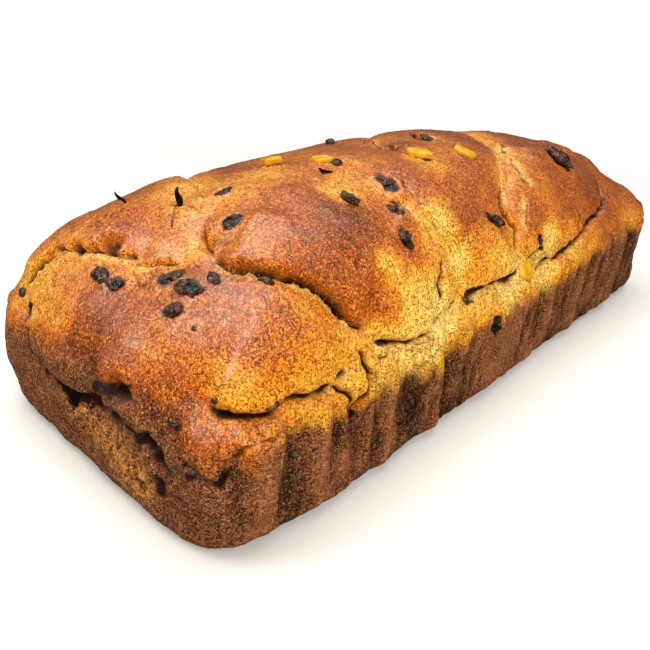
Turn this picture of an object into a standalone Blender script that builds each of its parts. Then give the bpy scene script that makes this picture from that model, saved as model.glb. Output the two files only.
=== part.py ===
"""A sweet fruit loaf: one baked loaf with strands of dough on top, and the raisins and candied fruit set in it.

Metres, +Z up. The origin is the centre of the flat base. X runs along the loaf and Y across it.
Lengths below are in millimetres, and MM turns them into metres where a mesh is made.
"""

import math

import bmesh
import bpy
from mathutils import Matrix, Vector
from mathutils.bvhtree import BVHTree

MM = 0.001

# The loaf
LENGTH = 300.0
WIDTH = 120.0
TIN_HEIGHT = 37.0  # where the wall that the tin shaped ends and the risen top begins
CROWN_HEIGHT = 85.0  # top of the dough between the seams
BASE_ROUND = 8.0  # rounding where the wall meets the base
CORNER_POWER = 8.5  # plan outline, nearly a rectangle with rounded corners
RIDGE_POWER = 3.4  # plan outline of the risen top near its ridge
CROWN_POWER = 2.84  # how full the top is across
CROWN_ROOT = 1.27
NEAR_DROP = 0.13  # share of the top's height lost at the -X end
FAR_DROP = 0.46  # and at the +X end
MESH_STEP = 6.0

# The seams between strands, as (points in plan or in space, depth, half width).
# A point with two numbers lies on the risen top, and one with three lies where it says.
SEAMS = {
    "first_and_second": ([(-143, 44), (-134, 26), (-133, 10), (-130, -9), (-124, -24)], 3.0, 5.0),
    "first_and_third": (
        [(-116, -10), (-121, -21), (-124, -27), (-121, -35), (-109, -45), (-98, -53, 55), (-92, -56, 50)],
        6.0,
        5.0,
    ),
    "second_and_third": ([(-120, -16), (-109, -5), (-97, 14), (-88, 34), (-82, 52, 56)], 4.0, 6.0),
    "third_tip": (
        [(-92, -56, 50), (-83, -57, 47), (-71, -58, 43), (-60, -57.5, 46), (-43, -57.5, 47)],
        4.0,
        4.0,
    ),
    "third_and_fourth": (
        [(5, 30), (-16, 6), (-34, -14), (-51, -32), (-51, -44), (-46, -50), (-55, -55, 52)],
        3.5,
        5.0,
    ),
    "fourth_tip": ([(-40, -57, 48), (-14, -58, 44), (9, -57, 49)], 3.5, 4.0),
    "fourth_and_fifth": ([(66, 24), (40, -18), (24, -34), (14, -44), (9, -56, 50)], 3.5, 6.0),
    "fifth_and_end": ([(98, -36), (89, -52, 54), (69, -55, 51), (43, -58, 46), (15, -58, 44)], 4.0, 5.0),
    "first_lower": ([(-145, -45, 48), (-138, -54, 47), (-125, -57.5, 46), (-103, -58, 45)], 3.5, 4.0),
    "back_side": ([(-130, 57.5, 46), (-60, 58, 48), (20, 58, 45), (110, 57, 46)], 3.0, 4.5),
}
STRAND_SWELL = 2.5  # how far the dough swells out away from a seam
SWELL_REACH = 16.0  # over this distance from it
WALL_RIPPLE = 0.6  # soft creases down the wall where dough met the tin

# Fruit set in the dough: (middle on the skin), (length, width, thickness), turn about the skin's
# normal in degrees, and how far the fruit's middle stands above the skin.
RAISINS = {
    "raisin_first_top": ((-132, -27, 66.5), (8.6, 4.6, 3.6), -81, 0.25),
    "raisin_first_long": ((-132, -18, 67), (9.5, 4.6, 3.6), -51, 0.25),
    "raisin_first_edge": ((-138, 7, 61), (8.0, 4.4, 3.6), -96, 0.25),
    "raisin_first_low": ((-138, -1, 61), (6.5, 4.0, 3.4), -77, -0.2),
    "raisin_first_small": ((-137, -27, 62), (6.5, 4.0, 3.2), -60, -0.2),
    "raisin_valley": ((-103, -4, 82), (9.5, 4.2, 3.2), -10, 0.25),
    "raisin_third_near": ((-114, -21, 78), (9.0, 5.4, 4.0), -18, -0.3),
    "raisin_third_back": ((-74, -29, 79), (6.0, 4.6, 3.6), -66, -0.2),
    "raisin_third_far": ((-64, -43, 69), (7.0, 4.2, 3.6), -94, -0.2),
    "raisin_cluster_long": ((-51, -26, 80), (13.0, 6.5, 5.0), -80, 0.4),
    "raisin_cluster_short": ((-57, -36, 76), (8.0, 5.0, 4.2), -35, 0.2),
    "raisin_fourth": ((-12, -46, 66), (7.5, 4.8, 3.8), -39, -0.1),
    "raisin_fourth_tip": ((-37, -57, 48), (7.5, 5.0, 4.2), 27, 0.3),
    "raisin_fifth_top": ((67, -33, 74), (15.0, 9.0, 6.0), -75, 0.25),
    "raisin_fifth_tip": ((16, -54, 54), (6.5, 5.0, 4.2), 9, 0.25),
    "raisin_far_end": ((93, -50, 57), (7.5, 5.2, 4.2), -90, 0.25),
    "raisin_wall_middle": ((-23, -60, 33), (9.5, 6.5, 5.0), -38, -0.3),
    "raisin_wall_low": ((-69, -60, 15), (8.0, 6.0, 4.6), 52, -0.3),
}
PEEL = {
    "candied_peel_back": ((-73, 6, 84), (9.0, 8.0, 6.0), -10, 0.8),
    "candied_peel_sunk": ((-58, -3, 84), (8.5, 6.5, 5.0), -22, -0.4),
    "candied_peel_top": ((-21, -17, 84), (10.5, 9.0, 6.0), -37, 0.6),
    "candied_peel_far": ((3, -22, 83), (10.5, 7.5, 5.0), -78, -0.5),
    "candied_peel_edge": ((3, -57, 46), (8.5, 7.5, 7.0), -14, 1.0),
}
DARK_SLAB = {"fruit_slab_end": ((-150, 10, 24), (11.0, 9.0, 5.0), 141, -0.4)}
POCKET_GAP = 0.35  # between fruit and dough


def plan_scale(across, along, level):
    """How far a plan point moves towards the middle so that each level follows a rounded outline."""
    if level <= 0.0:
        return 1.0
    power = RIDGE_POWER + (CORNER_POWER - RIDGE_POWER) * level**2
    return level / (across**power + along**power) ** (1.0 / power)


def crown_height(x, level):
    """Height of the risen top: level is 0 on the ridge and 1 where the wall begins."""
    u = x / (LENGTH / 2)
    drop = NEAR_DROP if u < 0 else FAR_DROP
    rise = (1.0 - drop * u * u) * max(0.0, 1.0 - level**CROWN_POWER) ** (1.0 / CROWN_ROOT)
    return TIN_HEIGHT + (CROWN_HEIGHT - TIN_HEIGHT) * rise


def crown_point(x, y):
    """The smooth top's point above a plan position, as (x, y, z)."""
    half_long, half_wide = LENGTH / 2, WIDTH / 2
    along = max(0.0, abs(x) - (half_long - half_wide)) / half_wide
    across = abs(y) / half_wide
    level = max(along, across)
    for _ in range(5):
        power = RIDGE_POWER + (CORNER_POWER - RIDGE_POWER) * level**2
        level = min(1.0, (across**power + along**power) ** (1.0 / power))
    return Vector((x, y, crown_height(x, level)))


def levels():
    """Levels from the wall's top to the ridge, evenly spaced along the surface."""
    count = 400
    inset = [(i / count) ** 2 for i in range(count + 1)]
    profile = [(d * WIDTH / 2, crown_height(0.0, 1.0 - d)) for d in inset]
    run = [0.0]
    for a, b in zip(profile, profile[1:]):
        run.append(run[-1] + math.dist(a, b))
    steps = int(run[-1] / MESH_STEP)
    found = []
    at = 0
    for i in range(steps + 1):
        wanted = run[-1] * i / steps
        while at < count and run[at] < wanted:
            at += 1
        found.append(1.0 - inset[at])
    return found


def top_grid():
    """Rows of points over the risen top."""
    half_long, half_wide = LENGTH / 2, WIDTH / 2
    straight = half_long - half_wide
    fine = levels()
    ys = [-half_wide * q for q in fine] + [half_wide * q for q in reversed(fine[:-1])]
    cells = int(2 * straight / MESH_STEP)
    middle = [-straight + 2 * straight * i / cells for i in range(1, cells)]
    xs = [-straight - half_wide * q for q in fine] + middle + [straight + half_wide * q for q in reversed(fine)]
    rows = []
    for x in xs:
        along = max(0.0, abs(x) - straight) / half_wide
        row = []
        for y in ys:
            across = abs(y) / half_wide
            level = max(along, across)
            k = plan_scale(across, along, level)
            px = math.copysign(min(abs(x), straight) + along * half_wide * k, x)
            row.append(Vector((px, y * k, crown_height(px, level))))
        rows.append(row)
    return rows


def wall_rings(rim):
    """Rings of points from the wall's top down to the edge of the flat base."""
    rings = []
    cells = int((TIN_HEIGHT - BASE_ROUND) / MESH_STEP) + 1
    for i in range(1, cells + 1):
        z = TIN_HEIGHT - (TIN_HEIGHT - BASE_ROUND) * i / cells
        rings.append([Vector((p.x, p.y, z)) for p in rim])
    turns = 3
    for i in range(1, turns + 1):
        angle = math.radians(90.0 * i / turns)
        inset = BASE_ROUND * (1.0 - math.cos(angle))
        z = BASE_ROUND * (1.0 - math.sin(angle))
        shrink_x = 1.0 - inset / (LENGTH / 2)
        shrink_y = 1.0 - inset / (WIDTH / 2)
        rings.append([Vector((p.x * shrink_x, p.y * shrink_y, z)) for p in rim])
    return rings


def seam_lines():
    """Each seam as (points in space, depth, half width)."""
    lines = []
    for points, depth, half_width in SEAMS.values():
        placed = [Vector(p) if len(p) == 3 else crown_point(*p) for p in points]
        lines.append((placed, depth, half_width))
    return lines


def distance_to_line(point, line):
    nearest = 1e9
    for a, b in zip(line, line[1:]):
        run = b - a
        share = max(0.0, min(1.0, (point - a).dot(run) / run.length_squared))
        nearest = min(nearest, (point - a - run * share).length)
    return nearest


def skin_shift(point, lines):
    """How far the skin stands out from the smooth loaf at a point: swelling strands, and seams between them."""
    closest = 1e9
    groove = 0.0
    for line, depth, half_width in lines:
        away = distance_to_line(point, line)
        closest = min(closest, away)
        groove = max(groove, depth * math.exp(-((away / half_width) ** 2)))
    risen = max(0.0, min(1.0, (point.z - TIN_HEIGHT + 4.0) / 12.0))
    swell = STRAND_SWELL * (1.0 - math.exp(-closest / SWELL_REACH)) * risen
    wall = 1.0 - risen
    ripple = WALL_RIPPLE * wall * (math.sin(point.x / 5.3 + point.y / 7.1) + 0.6 * math.sin(point.x / 11.0 + 1.3))
    if point.z < BASE_ROUND:
        ripple *= point.z / BASE_ROUND
    return swell + ripple - groove


def loaf_bmesh():
    """The loaf as one closed mesh: risen top, wall and flat base."""
    bm = bmesh.new()
    grid = [[bm.verts.new(p) for p in row] for row in top_grid()]
    for left, right in zip(grid, grid[1:]):
        for i in range(len(left) - 1):
            bm.faces.new((left[i], right[i], right[i + 1], left[i + 1]))
    rim = [row[0] for row in grid[:-1]] + grid[-1][:-1]
    rim += [row[-1] for row in reversed(grid[1:])] + list(reversed(grid[0][1:]))
    above = rim
    for ring in wall_rings([v.co.copy() for v in rim]):
        below = [bm.verts.new(p) for p in ring]
        for i in range(len(rim)):
            j = (i + 1) % len(rim)
            bm.faces.new((above[i], below[i], below[j], above[j]))
        above = below
    bm.faces.new(list(reversed(above)))
    bmesh.ops.recalc_face_normals(bm, faces=bm.faces)
    bm.normal_update()
    base = set(above)
    lines = seam_lines()
    moves = {v: v.normal * skin_shift(v.co, lines) for v in bm.verts if v not in base}
    for v, move in moves.items():
        v.co += move
    bmesh.ops.triangulate(bm, faces=[f for f in bm.faces if len(f.verts) == 4])
    return bm


def finish_object(name, bm, material):
    """A named object in metres from a bmesh in millimetres."""
    bmesh.ops.recalc_face_normals(bm, faces=bm.faces)
    mesh = bpy.data.meshes.new(name)
    bm.to_mesh(mesh)
    bm.free()
    mesh.transform(Matrix.Scale(MM, 4))
    mesh.materials.append(material)
    mesh.shade_smooth()
    made = bpy.data.objects.new(name, mesh)
    bpy.context.scene.collection.objects.link(made)
    return made


def fruit_bmesh(kind, size, gap, phase):
    """One piece of fruit about its own middle, or its pocket when it is grown by a gap."""
    bm = bmesh.new()
    half = [s / 2 + gap for s in size]
    if kind == "raisin":
        bmesh.ops.create_icosphere(bm, subdivisions=2, radius=1.0)
        bmesh.ops.rotate(bm, cent=(0, 0, 0), matrix=Matrix.Rotation(0.4, 3, "X"), verts=bm.verts)
    else:
        bmesh.ops.create_cube(bm, size=1.8)
        bmesh.ops.bevel(bm, geom=bm.edges[:], offset=0.24, segments=1, affect="EDGES")
    for v in bm.verts:
        x, y, z = v.co
        if kind == "raisin":
            dent = 1.0 + 0.07 * math.sin(3.0 * math.atan2(y, x) + phase)
            x, y = x * dent, y * dent
        else:
            x, y = x + 0.10 * y * math.sin(phase), y * (1.0 + 0.10 * x)
        v.co = Vector((x * half[0], y * half[1], z * half[2]))
    return bm


def seat(tree, middle, turn, stand):
    """The matrix that sets a piece of fruit on the skin nearest to its middle."""
    spot, normal, _, _ = tree.find_nearest(Vector(middle) * MM)
    along = Vector((0, 1, 0)) if abs(normal.x) > 0.9 else Vector((1, 0, 0))
    along = (along - normal * along.dot(normal)).normalized()
    side = normal.cross(along)
    c, s = math.cos(math.radians(turn)), math.sin(math.radians(turn))
    first = along * c + side * s
    second = normal.cross(first)
    place = Matrix((first, second, normal)).transposed().to_4x4()
    place.translation = spot + normal * stand * MM
    return place


def make_material(name, colour, roughness):
    material = bpy.data.materials.new(name)
    material.use_nodes = True
    shader = material.node_tree.nodes["Principled BSDF"]
    shader.inputs["Base Color"].default_value = (*colour, 1.0)
    shader.inputs["Roughness"].default_value = roughness
    shader.inputs["Metallic"].default_value = 0.0
    return material


def set_fruit(loaf, tree, kind, pieces, material):
    """Sets each piece of fruit in a pocket of its own in the loaf."""
    for number, (name, (middle, size, turn, stand)) in enumerate(pieces.items()):
        place = seat(tree, middle, turn, stand)
        phase = 1.7 * number
        fruit = finish_object(name, fruit_bmesh(kind, size, 0.0, phase), material)
        fruit.matrix_world = place
        pocket = finish_object("pocket_" + name, fruit_bmesh(kind, size, POCKET_GAP, phase), material)
        pocket.matrix_world = place
        pocket.hide_render = True
        pocket.display_type = "WIRE"
        cut = loaf.modifiers.new("pocket_" + name, "BOOLEAN")
        cut.operation = "DIFFERENCE"
        cut.solver = "EXACT"
        cut.object = pocket


def main():
    for old in list(bpy.data.objects):
        bpy.data.objects.remove(old)
    crust = make_material("crust", (0.45, 0.16, 0.05), 0.5)
    raisin = make_material("raisin", (0.03, 0.012, 0.008), 0.45)
    peel = make_material("peel", (0.90, 0.55, 0.04), 0.4)
    loaf = finish_object("loaf", loaf_bmesh(), crust)
    tree = BVHTree.FromPolygons(
        [v.co for v in loaf.data.vertices], [tuple(p.vertices) for p in loaf.data.polygons]
    )
    set_fruit(loaf, tree, "raisin", RAISINS, raisin)
    set_fruit(loaf, tree, "peel", PEEL, peel)
    set_fruit(loaf, tree, "slab", DARK_SLAB, raisin)


main()
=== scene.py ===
import math
import bpy
import bmesh
import numpy as np
from mathutils import Vector, Matrix
from mathutils.kdtree import KDTree
from mathutils.bvhtree import BVHTree


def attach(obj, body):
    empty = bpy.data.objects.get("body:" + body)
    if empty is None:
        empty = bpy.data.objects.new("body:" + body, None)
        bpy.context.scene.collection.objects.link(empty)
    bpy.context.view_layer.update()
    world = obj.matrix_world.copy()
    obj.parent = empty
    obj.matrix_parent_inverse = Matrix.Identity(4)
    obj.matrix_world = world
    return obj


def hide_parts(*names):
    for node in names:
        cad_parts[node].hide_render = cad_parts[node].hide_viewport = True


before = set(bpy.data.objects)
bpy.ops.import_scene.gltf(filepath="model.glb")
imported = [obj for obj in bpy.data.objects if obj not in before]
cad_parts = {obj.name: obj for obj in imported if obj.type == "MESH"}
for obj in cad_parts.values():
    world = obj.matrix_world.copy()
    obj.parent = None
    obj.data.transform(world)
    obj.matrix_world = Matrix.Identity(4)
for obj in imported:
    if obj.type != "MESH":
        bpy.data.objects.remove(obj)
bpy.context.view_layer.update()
scene = bpy.context.scene
mm = 0.001

def latticeNoise(points, size, seed):
    # smooth random field from -1 to 1, size in mm
    rng = np.random.default_rng(seed)
    grid = rng.uniform(-1, 1, (32, 32, 32))
    q = points / size + rng.uniform(0, 32, 3)
    cell = np.floor(q).astype(int)
    f = q - cell
    f = f * f * (3 - 2 * f)
    total = 0
    for corner in range(8):
        bit = np.array([corner & 1, corner >> 1 & 1, corner >> 2 & 1])
        i = (cell + bit) % 32
        weight = np.prod(np.where(bit, f, 1 - f), axis=1)
        total = total + grid[i[:, 0], i[:, 1], i[:, 2]] * weight
    return total * 1.5


def layeredNoise(points, size, seed, layers=3, fade=0.5):
    total, strength, weight = 0, 1.0, 0.0
    for layer in range(layers):
        total = total + strength * latticeNoise(points, size / 2**layer, seed + layer)
        weight += strength
        strength *= fade
    return total / weight


def smooth(low, high, value):
    t = np.clip((value - low) / (high - low), 0, 1)
    return t * t * (3 - 2 * t)


# the plain loaf, sizes in mm, with how its plan and crown curve
loafForm = {
    "length": 300.0,
    "width": 120.0,
    "tinHeight": 37.0,
    "crownHeight": 85.0,
    "baseRound": 8.0,
    "cornerPower": 8.5,
    "ridgePower": 3.4,
    "crownPower": 2.84,
    "crownRoot": 1.27,
    "nearDrop": 0.13,
    "farDrop": 0.46,
    "meshStep": 1.5,
    # how close to a crease, and to a fruit's middle, the mesh is made finer
    "refine": [(3.0, 7.0), (1.5, 3.0)],
}


def planScale(across, along, level):
    f = loafForm
    power = f["ridgePower"] + (f["cornerPower"] - f["ridgePower"]) * level**2
    norm = (across**power + along**power) ** (1 / power)
    return np.where(level > 0, level / np.maximum(norm, 1e-9), 1)


def crownHeight(x, level):
    f = loafForm
    u = x / (f["length"] / 2)
    drop = np.where(u < 0, f["nearDrop"], f["farDrop"])
    rise = (1 - drop * u * u) * np.clip(1 - level ** f["crownPower"], 0, 1) ** (1 / f["crownRoot"])
    return f["tinHeight"] + (f["crownHeight"] - f["tinHeight"]) * rise


def crownPoint(x, y):
    # the smooth top above a place in plan
    f = loafForm
    wide = f["width"] / 2
    along = max(0.0, abs(x) - (f["length"] / 2 - wide)) / wide
    across = abs(y) / wide
    level = max(along, across)
    for turn in range(5):
        power = f["ridgePower"] + (f["cornerPower"] - f["ridgePower"]) * level**2
        level = min(1.0, (across**power + along**power) ** (1 / power))
    return (x, y, float(crownHeight(np.array(x), np.array(level))))


def smoothLoaf():
    # quads of the plain loaf: crown grid, wall rings and base
    f = loafForm
    step, long, wide = f["meshStep"], f["length"] / 2, f["width"] / 2
    inset = np.linspace(0, 1, 400) ** 2
    height = crownHeight(np.zeros(400), 1 - inset)
    run = np.concatenate([[0], np.cumsum(np.hypot(np.diff(inset * wide), np.diff(height)))])
    levels = 1 - np.interp(np.linspace(0, run[-1], int(run[-1] / step) + 1), run, inset)
    levels[-1] = 0
    ys = np.concatenate([-levels * wide, (levels[:-1] * wide)[::-1]])
    straight = long - wide
    middle = np.linspace(-straight, straight, int(2 * straight / step) + 1)[1:-1]
    xs = np.concatenate([-straight - levels * wide, middle, (straight + levels * wide)[::-1]])
    gx, gy = np.meshgrid(xs, ys, indexing="ij")
    along = np.clip(np.abs(gx) - straight, 0, None) / wide
    across = np.abs(gy) / wide
    level = np.maximum(along, across)
    k = planScale(across, along, level)
    px = np.sign(gx) * (np.minimum(np.abs(gx), straight) + along * wide * k)
    top = np.stack([px, gy * k, crownHeight(px, level)], -1)
    nx, ny = top.shape[:2]
    points = [top.reshape(-1, 3)]
    index = np.arange(nx * ny).reshape(nx, ny)
    quads = [np.stack([index[:-1, :-1], index[1:, :-1], index[1:, 1:], index[:-1, 1:]], -1).reshape(-1, 4)]
    rim = np.concatenate([index[:-1, 0], index[-1, :-1], index[:0:-1, -1], index[0, :0:-1]])
    edge = points[0][rim]
    rings = []
    cells = int((f["tinHeight"] - f["baseRound"]) / step)
    for z in np.linspace(f["tinHeight"], f["baseRound"], cells + 1)[1:]:
        rings.append(np.column_stack([edge[:, 0], edge[:, 1], np.full(len(edge), z)]))
    turns = int(f["baseRound"] * 1.57 / step)
    for angle in np.linspace(0, np.pi / 2, turns + 1)[1:]:
        back = f["baseRound"] * (1 - np.cos(angle))
        z = f["baseRound"] * (1 - np.sin(angle))
        inward = edge[:, :2] * (1 - back / np.array([long, wide]))
        rings.append(np.column_stack([inward, np.full(len(edge), z)]))
    above, count = rim, nx * ny
    for ring in rings:
        below = np.arange(count, count + len(rim))
        quads.append(np.stack([above, np.roll(above, -1), np.roll(below, -1), below], -1)[:, ::-1])
        points.append(ring)
        above, count = below, count + len(rim)
    return np.concatenate(points), np.concatenate(quads), above


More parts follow.
